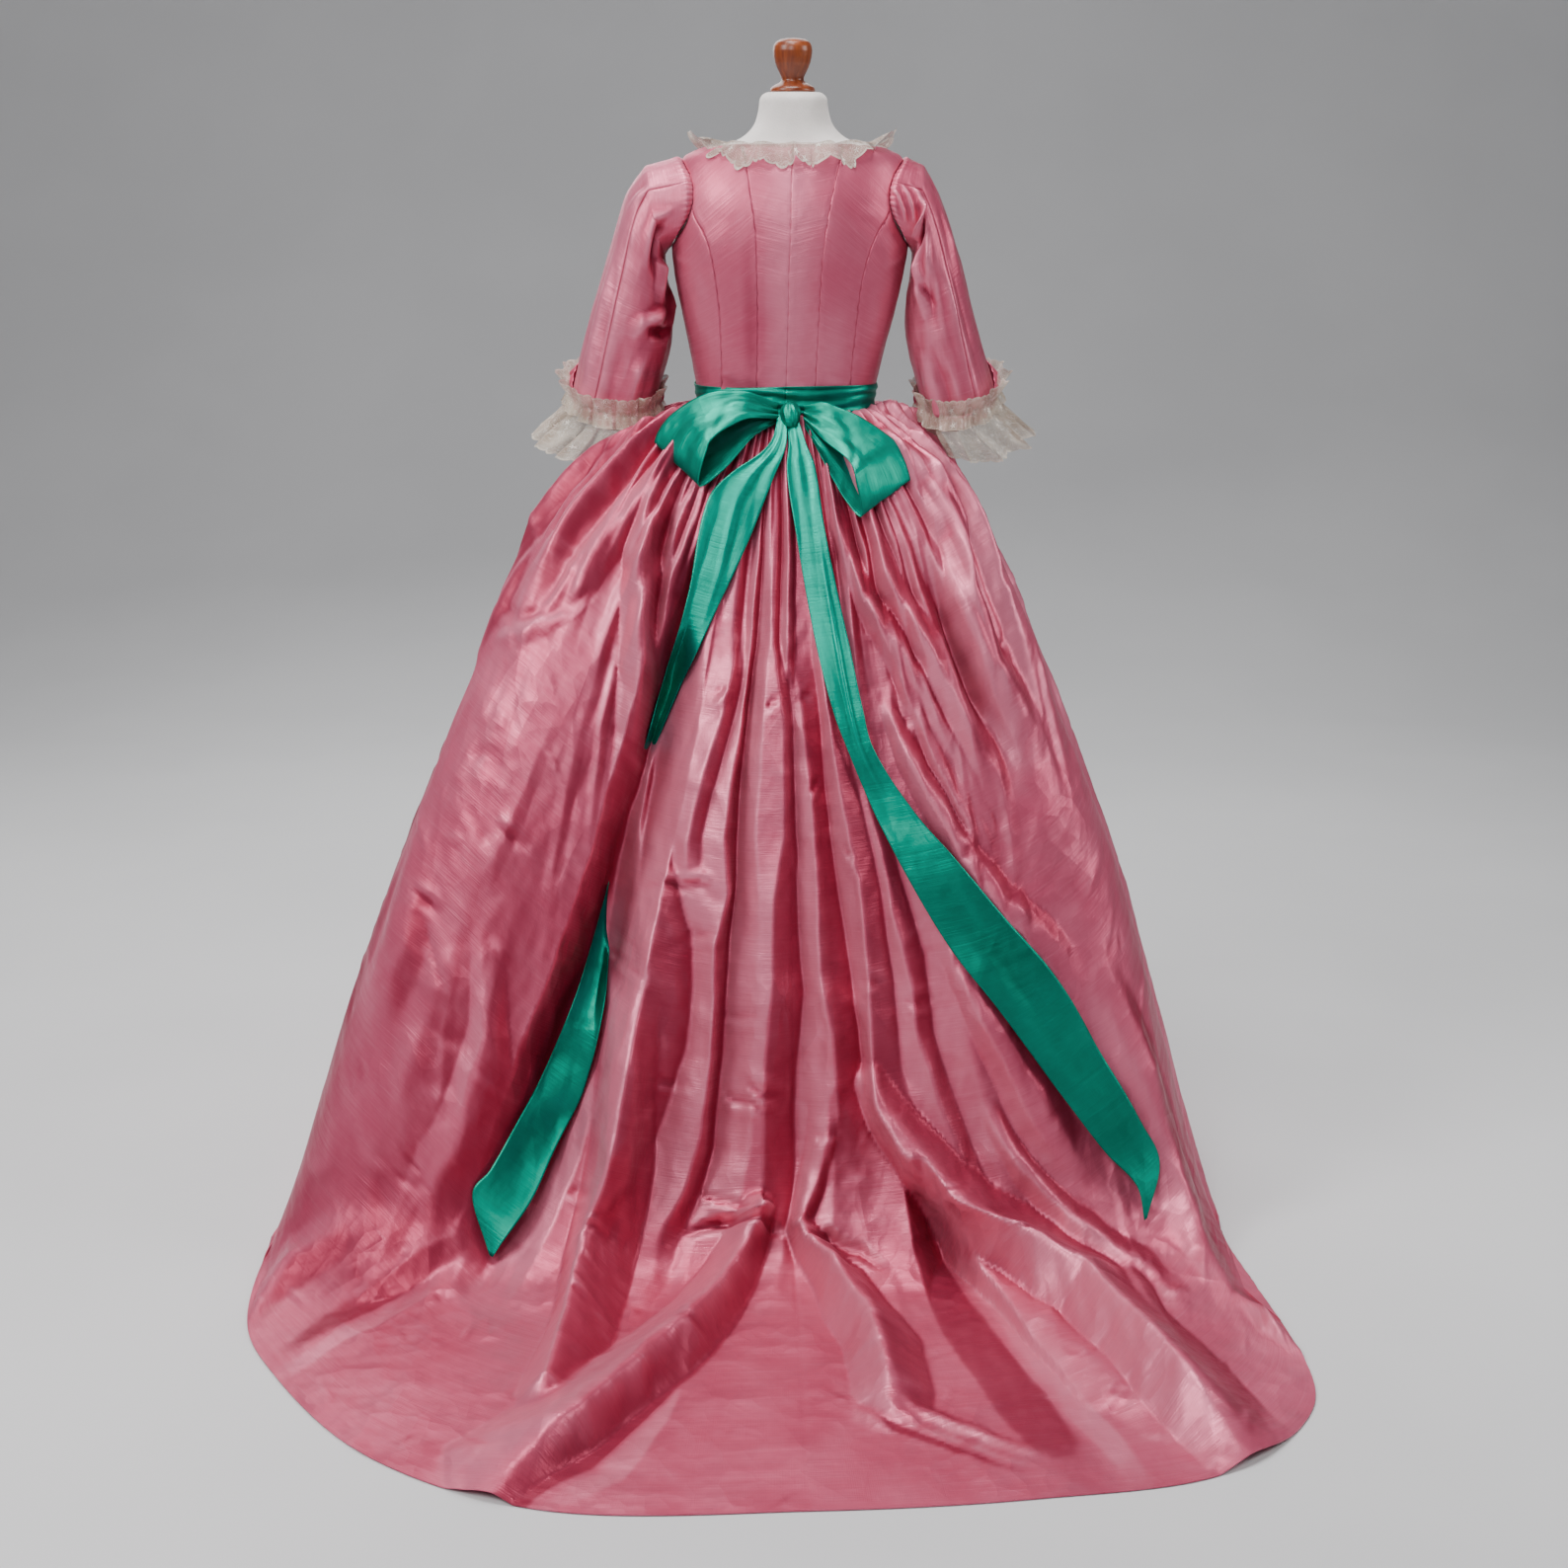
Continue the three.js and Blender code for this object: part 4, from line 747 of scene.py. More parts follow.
# sleeves: the outer and inner lines, the depth and the tilt of each section
sleeveRows = {
    -1: table("along outX outZ inX inZ deep tilt",
              (0.2, 196, 1441, 173, 1322, 64, 0), (0.38, 224, 1400, 171, 1296, 66, 0.02),
              (0.58, 251, 1316, 166, 1256, 66, 0.08), (0.78, 280, 1225, 166, 1200, 64, 0.2),
              (1, 303, 1137, 188, 1122, 60, 0.42)),
    1: table("along outX outZ inX inZ deep tilt",
             (0.2, 188, 1441, 177, 1322, 62, 0), (0.38, 210, 1400, 174, 1296, 64, 0.02),
             (0.58, 240, 1316, 168, 1256, 63, 0.08), (0.78, 265, 1225, 170, 1200, 61, 0.2),
             (1, 292, 1137, 192, 1118, 58, 0.42)),
}
sleeves = {
    "upper": {"low": -62, "high": 62, "lines": 56, "cut": (0.17, 0.37), "area": 0.044},
    "under": {"low": 62, "high": 298, "lines": 98, "cut": (0.28, 0.31), "area": 0.07},
}
# length and mm to a degree of angle are for the folds' places; head is the share that blends into the bodice
sleeveSize = {"rows": 90, "length": 345.0, "degree": 1.15, "head": 0.2, "off": 4.6, "folds": 1.7}
sleeveCurves = {side: linesOf(rows, "along") for side, rows in sleeveRows.items()}


def sleeveAt(side, angle, along):
    # angle in degrees: 0 at the outer line, 90 at the back, 180 at the inner line; along is 0 at the
    # armhole and 1 at the elbow
    angle, along = np.broadcast_arrays(np.asarray(angle, float), np.asarray(along, float))

    def ring(at):
        row = {key: line(at) for key, line in sleeveCurves[side].items()}
        outer = (1 + np.cos(np.radians(angle))) / 2
        back = np.sin(np.radians(angle)) * row["deep"]
        x = mix(row["inX"], row["outX"], outer)
        z = mix(row["inZ"], row["outZ"], outer) - back * row["tilt"]
        return np.stack([side * x, -back, z], axis=-1)

    turn, height = armhole(angle)
    start = sleeveSize["head"]
    head = torsoAt(side * turn, height) + torsoFacing(side * turn, height) * sleeveSize["off"]
    share = np.clip(along / start, 0, 1)[..., None] * 1.05 - 0.05
    below = ring(np.maximum(along, start))
    return np.where(along[..., None] >= start, below, mix(head, ring(np.full(along.shape, start)), share))


# folds of each sleeve: (angle, along, mm high, mm half width); a hollow has a height under 0
sleeveFolds = {
    -1: [
        [(150, 0.60, 0, 16), (128, 0.66, 7, 14), (108, 0.70, 5, 16), (92, 0.76, 0, 18)],
        [(168, 0.70, 0, 12), (148, 0.72, -7, 12), (122, 0.71, -4, 12), (104, 0.68, 0, 14)],
        [(150, 0.30, 0, 14), (138, 0.40, 8, 15), (134, 0.52, 6, 16), (140, 0.62, 0, 18)],
        [(112, 0.14, 0, 10), (116, 0.24, -6, 14), (118, 0.38, -5, 14), (116, 0.5, 0, 14)],
        [(96, 0.10, 0, 8), (98, 0.20, 5, 12), (100, 0.34, 4, 14), (102, 0.5, 0, 16)],
        [(64, 0.16, 0, 8), (52, 0.28, 2.5, 10), (44, 0.4, 0, 12)],
        [(120, 0.78, 0, 14), (112, 0.86, 4, 16), (110, 0.97, 3, 18), (110, 1.0, 2, 18)],
        [(86, 0.74, 0, 14), (82, 0.84, -3, 16), (80, 1.0, -3, 18)],
        [(40, 0.5, 0, 14), (38, 0.66, 3, 18), (40, 0.84, 3, 18), (42, 1.0, 2, 18)],
        [(174, 0.45, 0, 14), (176, 0.6, 5, 16), (170, 0.72, 0, 18)],
    ],
    1: [
        [(60, 0.05, 0, 5), (74, 0.11, 3.4, 6), (92, 0.15, 3.0, 6), (108, 0.17, 0, 6)],
        [(66, 0.0, 0, 5), (80, 0.055, 3.0, 5), (98, 0.09, 3.0, 5), (112, 0.10, 0, 6)],
        [(58, 0.10, 0, 5), (68, 0.17, 3.0, 6), (86, 0.21, 3.6, 7), (104, 0.22, 0, 7)],
        [(72, 0.18, 0, 6), (82, 0.23, 9, 9), (98, 0.255, 12, 9), (112, 0.26, 8, 9), (120, 0.262, 0, 9)],
        [(84, 0.27, 0, 8), (100, 0.305, -8, 12), (116, 0.31, -5, 12), (126, 0.30, 0, 12)],
        [(118, 0.30, 0, 12), (126, 0.42, 7, 14), (124, 0.55, 5, 16), (120, 0.68, 0, 18)],
        [(92, 0.36, 0, 12), (98, 0.45, 4, 14), (102, 0.60, -4, 16), (98, 0.74, 0, 18)],
        [(70, 0.5, 0, 14), (66, 0.66, 3.5, 16), (60, 0.84, 3, 18), (56, 1.0, 2, 18)],
        [(134, 0.46, 0, 10), (114, 0.56, -4, 10), (100, 0.62, -4, 10), (90, 0.66, 0, 10)],
        [(110, 0.76, 0, 14), (104, 0.88, -4, 18), (100, 1.0, -4, 18)],
        [(130, 0.78, 0, 14), (128, 0.9, 4, 18), (126, 1.0, 3, 18)],
        [(30, 0.3, 0, 12), (34, 0.5, 2.5, 14), (36, 0.7, 0, 14)],
    ],
}


def sleevePiece(side, name, part):
    low, high = part["low"], part["high"]
    degree, length = sleeveSize["degree"], sleeveSize["length"]
    angle = np.linspace(low, high, part["lines"])[:, None]
    along = np.linspace(0, 1, sleeveSize["rows"])[None, :] ** 1.02
    base = sleeveAt(side, angle, along)
    outward = facing(base) * side
    x, y = np.broadcast_arrays(angle * degree, along * length)
    folds = [[(a * degree, b * length, c, d) for a, b, c, d in path] for path in sleeveFolds[side]]
    lift = sleeveSize["folds"] * ridges(x, y, folds, 0.85)
    lift += 0.9 * ripple(x / 18, y / 44, 5 + side) * ease(along / 0.2)
    lift += 0.35 * ripple(x / 5, y / 13, 9 + side)
    # the head is eased into the armhole in small gathers
    gathers = 1.2 + 0.9 * np.cos(angle * 0.9 + ripple(x / 30, y / 60, 3) * 2)
    lift += gathers * np.exp(-((along - 0.015) / 0.03) ** 2)
    edge = np.minimum(angle - low, high - angle) * degree
    lift += 1.7 - 1.1 * np.exp(-(edge / 1.6) ** 2) * ease(along / 0.22)
    # painted shade in the hollows and painted highlight on the crests, and each sleeve painted brightest
    # where it faces the lamp on the left
    bright = 35 if side < 0 else 130
    shade = 1.1 * relief(lift, 6, 4) + 0.5 * relief(lift, 2, 1.5) \
        + 0.8 * np.cos(np.radians(angle - bright)) - 0.15
    lift -= 7.5 * np.exp(-(along / 0.02) ** 2)      # turned in at the armhole
    points = base + outward * lift[..., None]
    piece = sheetFrom(name + "_cloth", points[::side], smoothSilk, part["cut"],
                      thick=wallOf["silk"], shade=shade[::side])
    finish(name)


def addSleeves():
    for side, hand in ((-1, "left"), (1, "right")):
        for key, part in sleeves.items():
            sleevePiece(side, f"sleeve_{hand}_{key}", part)
    print("sleeves made")


# cuffs: a gathered silk frill, a lace heading that stands up and a lace flounce
cuffRows = {
    "cuff_frill": table("at drop spread wave lean short",
                        (0, 0, 2.4, 0.3, 0, 0), (0.25, 5, 3.2, 0.9, 0, 0), (0.5, 10, 3.0, 0.7, 0, 0),
                        (0.75, 15, 3.2, 0.9, 0, 0), (1, 20, 1.4, 0.4, 0, 0)),
    "cuff_lace_top": table("at drop spread wave lean short",
                           (0, -24, 19, 5.5, 2, 0), (0.35, -10, 12, 3.6, 1, 0), (0.58, 0, 7.5, 0.9, 0, 0),
                           (0.75, 8, 11, 2.2, 0, 0), (1, 18, 15, 4.6, 0, 0)),
    "cuff_lace": table("at drop spread wave lean short",
                       (0, 14, 3.6, 0.6, 0, 0), (0.2, 31, 10, 5.0, 6, 0.25), (0.5, 56, 18, 9.0, 16, 0.4),
                       (0.8, 78, 23, 11.5, 24, 0.46), (1, 93, 26, 12.5, 28, 0.48)),
}
cuffs = {
    "cuff_frill": {"node": "cuff_ruche", "lines": 261, "steps": 15, "waves": 30, "calm": 0.15, "finer": 0.0,
                   "stray": 0.9, "puff": 1.0, "up": False, "cloth": pinkSilk, "slot": "pink_silk",
                   "map": (0.75, 0.034), "wall": wallOf["frill"], "cut": (0.46, 0.046),
                   "on": "sleeve_{}_under_cloth"},
    "cuff_lace_top": {"node": "cuff_heading", "lines": 361, "steps": 26, "waves": 13, "calm": 0.1,
                      "finer": 1.4, "stray": 2.0, "puff": 0.0, "up": True, "cloth": headLace,
                      "slot": "cream_lace", "map": (0.62, 1.0), "wall": 0.0, "cut": (0.46, 0.05),
                      "on": "cuff_frill_{}"},
    "cuff_lace": {"node": "cuff_flounce", "lines": 451, "steps": 38, "waves": 11, "calm": 0.55,
                  "finer": 1.8, "stray": 2.2, "puff": 0.0, "up": False, "cloth": cuffLace,
                  "slot": "cream_lace", "map": (0.80, 1.0), "wall": 0.0, "cut": (0.50, 0.072),
                  "on": "cuff_frill_{}"},
}


def cuffRing(side, name, cuff):
    # its rows give drop, spread, wave, lean and short along the cloth from 0 to 1
    lines = linesOf(cuffRows[name], "at")
    tip = 0.36 * lines["short"](1.0)
    at = np.linspace(0, 1, cuff["steps"])[None, :]
    degrees = np.linspace(0, 360, cuff["lines"])[:, None]
    angle = np.radians(degrees)
    edge = sleeveAt(side, degrees, 1.0) + np.zeros((1, cuff["steps"], 1))
    inner = 0.5 - 0.5 * np.cos(angle)
    centre = (sleeveAt(side, 0, 1.0) + sleeveAt(side, 180, 1.0)) / 2
    out = edge - centre
    out[..., 2] = 0
    out = unit(out)
    phase = angle * cuff["waves"] + cuff["stray"] * ripple(angle * 2.2, at * 0.8, 21 + side)
    wave = lines["wave"](at) * (np.cos(phase) + 0.35 * np.cos(2 * phase + 1.3 + 2 * at))
    wave = wave + cuff["finer"] * at * np.cos(angle * cuff["waves"] * 3.3 + 2 * np.sin(angle * 5))
    points = edge + out * ((lines["spread"](at) + wave) * (1 - cuff["calm"] * inner))[..., None]
    points[..., 0] += side * lines["lean"](at)
    # the silk frill puffs out and up at the front only
    front = cuff["puff"] * ease(0.35 - np.sin(angle))
    points = points + out * (8 * front * np.sin(np.pi * at) * (1.2 + np.cos(phase)))[..., None]
    points[..., 2] += 24 * front * (1 - at)
    swing = lines["wave"](at) * 0.8 * np.sin(phase)
    sideways = np.stack([-out[..., 1], out[..., 0], out[..., 2]], axis=-1)
    points = points + sideways * (swing * (1 - 0.5 * inner))[..., None]
    outer = (0.5 + 0.5 * np.cos(angle)) ** 2
    points[..., 2] -= lines["drop"](at) * (1 - lines["short"](at) * inner - tip * outer * at * 1.6)
    return points




def addCuffs():
    for side, hand in ((-1, "left"), (1, "right")):
        for name, cuff in cuffs.items():
            points = cuffRing(side, name, cuff)
            if cuff["up"]:
                points = points[:, ::-1]
            piece = sheetFrom(f"{name}_{hand}", points[::side], cuff["cloth"], cuff["map"],
                              ring=True, thick=cuff["wall"], inward=False)
            finish(f"{cuff['node']}_{hand}")
    print("cuffs made")


# lace round the neckline: how far its free edge stands out and up, from the centre back to the front
laceEdge = table("along out rise", (0, 27, -25), (0.12, 28, -27), (0.2, 25, -12), (0.26, 20, 10),
                 (0.32, 15, 20), (0.40, 11, 19), (0.58, 12, 8), (0.76, 14, -6), (0.88, 14, -14),
                 (1, 14, -16))
ruffle = {"lines": 601, "steps": 24, "waves": 12, "off": 2.6, "wave": 6.5, "room": 5.0, "map": (1.35, 1.0),
          "cut": (0.85, 0.04)}


def addNeckLace():
    neck, shoulder, front = bodice["neck"], bodice["shoulder"], bodice["frontNeck"]
    half = [(0, neck), (33, neck), (66, neck), (90, shoulder), *reversed(strapEdge), frontCorner,
            (158, front), (180, front)]
    places = np.array(half, float)
    spots = torsoAt(places[:, 0], places[:, 1])
    lengths = lengthsOf(spots)
    lengths /= lengths[-1]
    rounds = np.linspace(-1, 1, ruffle["lines"])[:, None]
    at = np.linspace(0, 1, ruffle["steps"])[None, :]
    along = np.abs(rounds)
    turn = np.interp(along, lengths, places[:, 0]) * np.sign(rounds + 1e-9)
    height = np.interp(along, lengths, places[:, 1])
    base = torsoAt(turn, height)
    middle = torso["mid"](height)
    out = unit(np.stack([base[..., 0] - middle, base[..., 1], np.zeros(turn.shape)], axis=-1))
    sideways = np.stack([-out[..., 1], out[..., 0], out[..., 2]], axis=-1)
    base = base + torsoFacing(turn, height) * ruffle["off"]
    phase = ruffle["waves"] * 2 * np.pi * along + 2.2 * ripple(rounds * 11, at * 0.8, 31)
    small = np.cos(phase * 1.7 + 1.7 * np.sin(rounds * 23))
    wave = (np.cos(phase) + 0.4 * small) * at ** 0.9 * (1 - 0.45 * bell((along - 0.33) / 0.07))
    wave = wave * ruffle["wave"]
    arch = 2 * at * (1 - at)
    reach = arch * 12 + at * at * curve(laceEdge, "along", "out")(along) + wave
    rise = (1 - at) ** 2 * 0.6 + arch * 8 + at * at * curve(laceEdge, "along", "rise")(along) + wave
    swing = np.sin(phase) * at * (5.5 + 9 * bell((along - 0.28) / 0.12))
    points = base + out * reach[..., None] + sideways * swing[..., None]
    points[..., 2] += rise
    # the lace lies over the bodice, never inside it
    under = torsoAt(turn, np.clip(points[..., 2], 1200, 1468), ruffle["room"])
    short = np.hypot(under[..., 0] - middle, under[..., 1]) \
        - np.hypot(points[..., 0] - middle, points[..., 1])
    push = np.where(points[..., 2] < 1466, np.clip(short, 0, 25), 0) * ease(at / 0.2)
    points = points + out * push[..., None]
    piece = sheetFrom("neck_ruffle", points, neckLace, ruffle["map"], ring=True)
    finish("neck_lace")
    print("neck lace made")


# skirt: where each line of it leaves the waist, meets the floor and ends; a turn of 1 is half way round
skirtRows = table(
    "turn waist footX footY hemX hemY hemZ swell",
    (-1.1, -202, 270, 400, 270, 400, 12, 0.62), (-1, -180, 0, 440, 0, 440, 12, 0.62),
    (-0.9, -158, -270, 400, -270, 400, 12, 0.62), (-0.8, -136, -470, 270, -470, 270, 12, 0.6),
    (-0.7, -115, -618, 40, -622, 35, 10, 0.57), (-0.6, -99, -692, -190, -704, -300, 2, 0.56),
    (-0.5, -84, -700, -360, -704, -585, 0.4, 0.56), (-0.4, -67, -568, -450, -638, -752, 0.4, 0.59),
    (-0.28, -47, -385, -465, -485, -950, 0.4, 0.64), (-0.15, -26, -200, -450, -270, -1062, 0.4, 0.7),
    (0, 0, 8, -430, 24, -1063, 0.4, 0.72), (0.15, 26, 190, -440, 280, -1038, 0.4, 0.7),
    (0.28, 47, 345, -430, 500, -985, 0.4, 0.64), (0.4, 67, 500, -380, 632, -835, 0.4, 0.6),
    (0.5, 84, 586, -290, 638, -640, 0.4, 0.6), (0.55, 91.5, 598, -215, 602, -510, 1, 0.6),
    (0.6, 99, 602, -130, 604, -330, 2, 0.6), (0.7, 115, 565, 70, 568, 60, 10, 0.6),
    (0.8, 136, 450, 270, 450, 270, 12, 0.6), (0.9, 158, 265, 400, 265, 400, 12, 0.62),
    (1, 180, 0, 440, 0, 440, 12, 0.62), (1.1, 202, -270, 400, -270, 400, 12, 0.62))
skirtCurves = linesOf(skirtRows, "turn")
# long is about the length of a skirt line, bend is how far before the floor it starts to turn, and low is
# as near to the floor as the cloth's outer side comes; the columns hang between two shares of the way down
skirt = {"long": 1500.0, "bend": 130.0, "low": 2.4, "rows": 215, "columnsTop": 0.15, "columnsFoot": 0.7}
panels = {
    "skirt_back_left": {"low": -0.38, "high": 0.0, "lines": 186, "cut": (0.86, 1.75), "area": 1.0},
    "skirt_back_right": {"low": 0.0, "high": 0.38, "lines": 186, "cut": (0.86, 1.75), "area": 1.0},
    "skirt_side_right": {"low": 0.38, "high": 0.76, "lines": 78, "cut": (0.80, 1.45), "area": 0.7},
    "skirt_front": {"low": 0.76, "high": 1.24, "lines": 54, "cut": (0.95, 1.3), "area": 0.80},
    "skirt_side_left": {"low": 1.24, "high": 1.62, "lines": 78, "cut": (0.80, 1.5), "area": 0.75},
}


def skirtSpan(down):
    return 320 + 1180 * np.clip(down, 0, 1) ** 0.75   # mm of cloth for a whole turn


def skirtLine(turn, downs):
    # from the waist down to the floor, round a soft bend and out along the train
    row = {key: float(line(turn)) for key, line in skirtCurves.items()}
    top = torsoAt(row["waist"], waistHeight)
    floor = np.array([row["footX"], row["footY"], row["hemZ"]])
    hem = np.array([row["hemX"], row["hemY"], row["hemZ"]])
    t = np.linspace(0, 1, 45)[:, None] ** 1.7
    points = mix(top, floor, t ** row["swell"])
    points[:, 2] = mix(waistHeight, row["hemZ"], t[:, 0])
    train = np.linalg.norm(hem - floor)
    if train > 5:
        reach = min(skirt["bend"], 0.6 * train)
        lengths = lengthsOf(points)
        cut = lengths[-1] - reach
        first = np.array([np.interp(cut, lengths, points[:, k]) for k in range(3)])
        last = mix(floor, hem, reach / train)
        s = np.linspace(0, 1, 12)[:, None]
        bend = mix(mix(first, floor, s), mix(floor, last, s), s)
        points = np.concatenate([points[lengths < cut], bend, mix(last, hem, s[1:])])
    lengths = lengthsOf(points)
    want = downs * lengths[-1]
    return np.stack([np.interp(want, lengths, points[:, k]) for k in range(3)], axis=-1)


# broad swells of the cloth: turn at the start, half way and end, then from, to, half width and height in mm
broadFolds = [
    (-0.4, -0.39, -0.4, 0.1, 0.9, 150, 26), (0.46, 0.45, 0.42, 0.3, 0.95, 130, 18),
    (0.12, 0.215, 0.3, 0.5, 1, 85, 20), (0.04, 0.05, 0.07, 0.05, 0.62, 120, 10),
    (-0.12, -0.14, -0.15, 0.2, 0.8, 100, 10),
]
# folds: lines of (turn, down, height, half width) and maybe lean; a hollow has a height under 0
skirtFolds = [
    # left hip and the swelling side below it
    [(-0.457, 0.055, 6, 14), (-0.50, 0.09, 9, 20), (-0.537, 0.135, 12, 26), (-0.543, 0.195, 12, 30),
     (-0.54, 0.26, 8, 34), (-0.53, 0.33, 0, 36)],
    [(-0.33, 0.03, 5, 10), (-0.36, 0.115, 9, 16), (-0.385, 0.18, 6, 20), (-0.40, 0.23, 0, 22)],
    [(-0.33, 0.06, 6, 12, 0), (-0.33, 0.11, 10, 18, 0), (-0.303, 0.155, 14, 22, 0.2),
     (-0.26, 0.22, 14, 24, 0.2), (-0.235, 0.30, 8, 26, 0), (-0.23, 0.36, 0, 26, 0)],
    [(-0.415, 0.03, 5, 10), (-0.44, 0.08, 8, 16), (-0.465, 0.15, 10, 22), (-0.47, 0.22, 5, 26),
     (-0.46, 0.27, 0, 28)],
    [(-0.50, 0.30, 0, 10), (-0.44, 0.275, 2.4, 13), (-0.40, 0.24, 3, 10), (-0.37, 0.215, 0, 9)],
    [(-0.54, 0.275, 0, 12), (-0.45, 0.262, -1.4, 10), (-0.39, 0.232, -2.4, 8), (-0.36, 0.20, 0, 9)],
    [(-0.29, 0.10, 0, 8), (-0.275, 0.14, -9, 12), (-0.25, 0.19, -9, 12), (-0.23, 0.24, 0, 12)],
    [(-0.36, 0.50, 0, 20), (-0.33, 0.58, 5, 26), (-0.34, 0.68, 5, 30), (-0.37, 0.78, 0, 30)],
    [(-0.47, 0.46, 0, 26), (-0.45, 0.56, 5, 34), (-0.46, 0.66, 0, 34)],
    # the deep hollow under the left tail, and the column beside it
    [(-0.185, 0.10, 0, 24), (-0.197, 0.165, -20, 30), (-0.207, 0.29, -34, 38), (-0.227, 0.43, -38, 42),
     (-0.26, 0.575, -28, 44), (-0.28, 0.70, -10, 44), (-0.29, 0.78, 0, 44)],
    [(-0.205, 0.46, 0, 30, -0.4), (-0.20, 0.52, 20, 34, -0.4), (-0.195, 0.595, 28, 38, -0.4),
     (-0.197, 0.69, 28, 40, -0.4), (-0.185, 0.79, 24, 38, -0.3), (-0.18, 0.875, 20, 34, 0),
     (-0.18, 0.895, 0, 20, 0)],
    # middle
    [(-0.045, 0.02, 4, 7), (-0.047, 0.06, 7, 10), (-0.04, 0.15, 6, 12), (-0.036, 0.2, 0, 14)],
    [(0.0, 0.03, 3, 6), (-0.002, 0.1, 6, 8), (-0.003, 0.19, 6, 9), (-0.003, 0.228, 0, 9)],
    # the pinch beside the seam: a crest breaks and turns outwards
    [(-0.033, 0.628, 16, 20, 0.3), (-0.055, 0.70, 20, 34, 0.4), (-0.087, 0.785, 24, 46, 0.45),
     (-0.12, 0.86, 28, 58, 0.5), (-0.143, 0.915, 28, 60, 0.5), (-0.183, 0.98, 22, 56, 0.4),
     (-0.20, 1.03, 12, 46, 0)],
    [(-0.11, 0.645, 0, 9), (-0.07, 0.637, -8, 11), (-0.035, 0.642, -7, 9), (-0.01, 0.65, 0, 8)],
    [(0.04, 0.52, 0, 16), (0.035, 0.57, 5, 20), (0.018, 0.61, 8, 20), (0.004, 0.645, 11, 14)],
    [(0.004, 0.645, 14, 16, -0.2), (0.035, 0.70, 22, 36, -0.3), (0.062, 0.79, 24, 46, -0.3),
     (0.07, 0.86, 16, 46, 0), (0.062, 0.91, 0, 40, 0)],
    [(0.006, 0.66, 0, 8), (0.035, 0.655, -7, 11), (0.07, 0.665, -4, 12), (0.10, 0.69, 0, 12)],
    [(-0.09, 0.80, 0, 14), (-0.11, 0.88, -12, 24), (-0.13, 0.95, -14, 28), (-0.165, 1.0, -8, 26)],
    [(0.013, 0.84, 0, 9), (0.07, 0.90, -5, 12), (0.127, 0.95, -5, 13), (0.19, 0.99, 0, 13)],
    [(0.02, 0.825, 0, 10), (0.085, 0.885, 5, 16), (0.14, 0.93, 4, 16), (0.20, 0.97, 0, 16)],
    # right of the middle, and the right hip
    [(0.14, 0.05, 4, 8), (0.14, 0.10, 8, 12), (0.173, 0.155, 12, 16), (0.22, 0.20, 13, 20),
     (0.26, 0.265, 12, 22), (0.283, 0.325, 8, 24), (0.30, 0.39, 0, 24)],
    [(0.21, 0.045, 4, 8), (0.223, 0.095, 8, 12), (0.233, 0.15, 12, 16), (0.277, 0.21, 13, 20),
     (0.31, 0.28, 10, 22), (0.335, 0.35, 0, 24)],
    [(0.23, 0.015, 3, 7), (0.33, 0.04, 7, 12), (0.393, 0.085, 11, 18), (0.39, 0.135, 13, 20),
     (0.367, 0.18, 13, 22), (0.367, 0.245, 11, 24), (0.397, 0.28, 6, 26), (0.42, 0.34, 0, 26)],
    [(0.417, 0.0, 3, 7), (0.50, 0.02, 6, 12), (0.577, 0.045, 9, 18), (0.567, 0.09, 8, 22),
     (0.55, 0.16, 0, 24)],
    [(0.44, 0.05, 4, 10), (0.47, 0.10, 8, 18), (0.46, 0.18, 8, 24), (0.48, 0.28, 6, 28),
     (0.49, 0.36, 0, 30)],
    [(0.18, 0.24, 0, 12), (0.207, 0.285, 10, 16), (0.227, 0.31, 11, 18), (0.273, 0.38, 10, 21),
     (0.337, 0.455, 6, 22), (0.38, 0.52, 0, 22)],
    [(0.195, 0.16, 0, 8), (0.24, 0.235, -8, 12), (0.275, 0.30, -8, 14), (0.31, 0.38, 0, 14)],
    [(0.30, 0.12, 0, 10), (0.32, 0.19, -10, 14), (0.335, 0.26, -9, 16), (0.365, 0.34, 0, 16)],
    [(0.22, 0.42, 0, 20), (0.26, 0.50, 9, 26), (0.30, 0.58, 8, 30), (0.34, 0.66, 0, 30)],
    # the large ridge that runs out on to the train, with a deep hollow on its left
    [(0.10, 0.53, 8, 22, 0), (0.112, 0.56, 16, 28, -0.3), (0.167, 0.63, 26, 40, -0.35),
     (0.237, 0.70, 32, 54, -0.35), (0.277, 0.765, 34, 62, -0.35), (0.293, 0.92, 28, 64, -0.3),
     (0.307, 1.01, 20, 60, -0.2)],
    [(0.14, 0.59, 0, 14, 0), (0.163, 0.655, -24, 30, 0.3), (0.18, 0.76, -32, 42, 0.4),
     (0.195, 0.88, -30, 46, 0.4), (0.205, 0.95, -14, 42, 0.3), (0.21, 1.02, 0, 30, 0)],
    [(0.345, 0.72, 0, 20), (0.333, 0.78, 13, 28), (0.315, 0.85, 15, 30), (0.297, 0.92, 8, 30),
     (0.29, 0.97, 0, 28)],
    [(0.24, 0.56, 0, 12), (0.27, 0.62, 7, 16), (0.32, 0.69, 9, 22), (0.36, 0.76, 6, 24),
     (0.37, 0.83, 0, 24)],
    [(0.40, 0.50, 0, 26), (0.43, 0.62, 8, 36), (0.44, 0.76, 8, 40), (0.43, 0.90, 0, 40)],
    # the corner of the train on each side
    [(-0.30, 0.72, 0, 14), (-0.34, 0.80, -6, 20), (-0.383, 0.915, -8, 22), (-0.40, 1.0, -5, 22)],
    [(-0.42, 0.80, 0, 20), (-0.46, 0.88, 8, 30), (-0.48, 0.96, 6, 30), (-0.49, 1.02, 0, 30)],
    [(0.42, 0.84, 0, 18), (0.45, 0.92, 10, 26), (0.47, 1.0, 8, 26)],
]
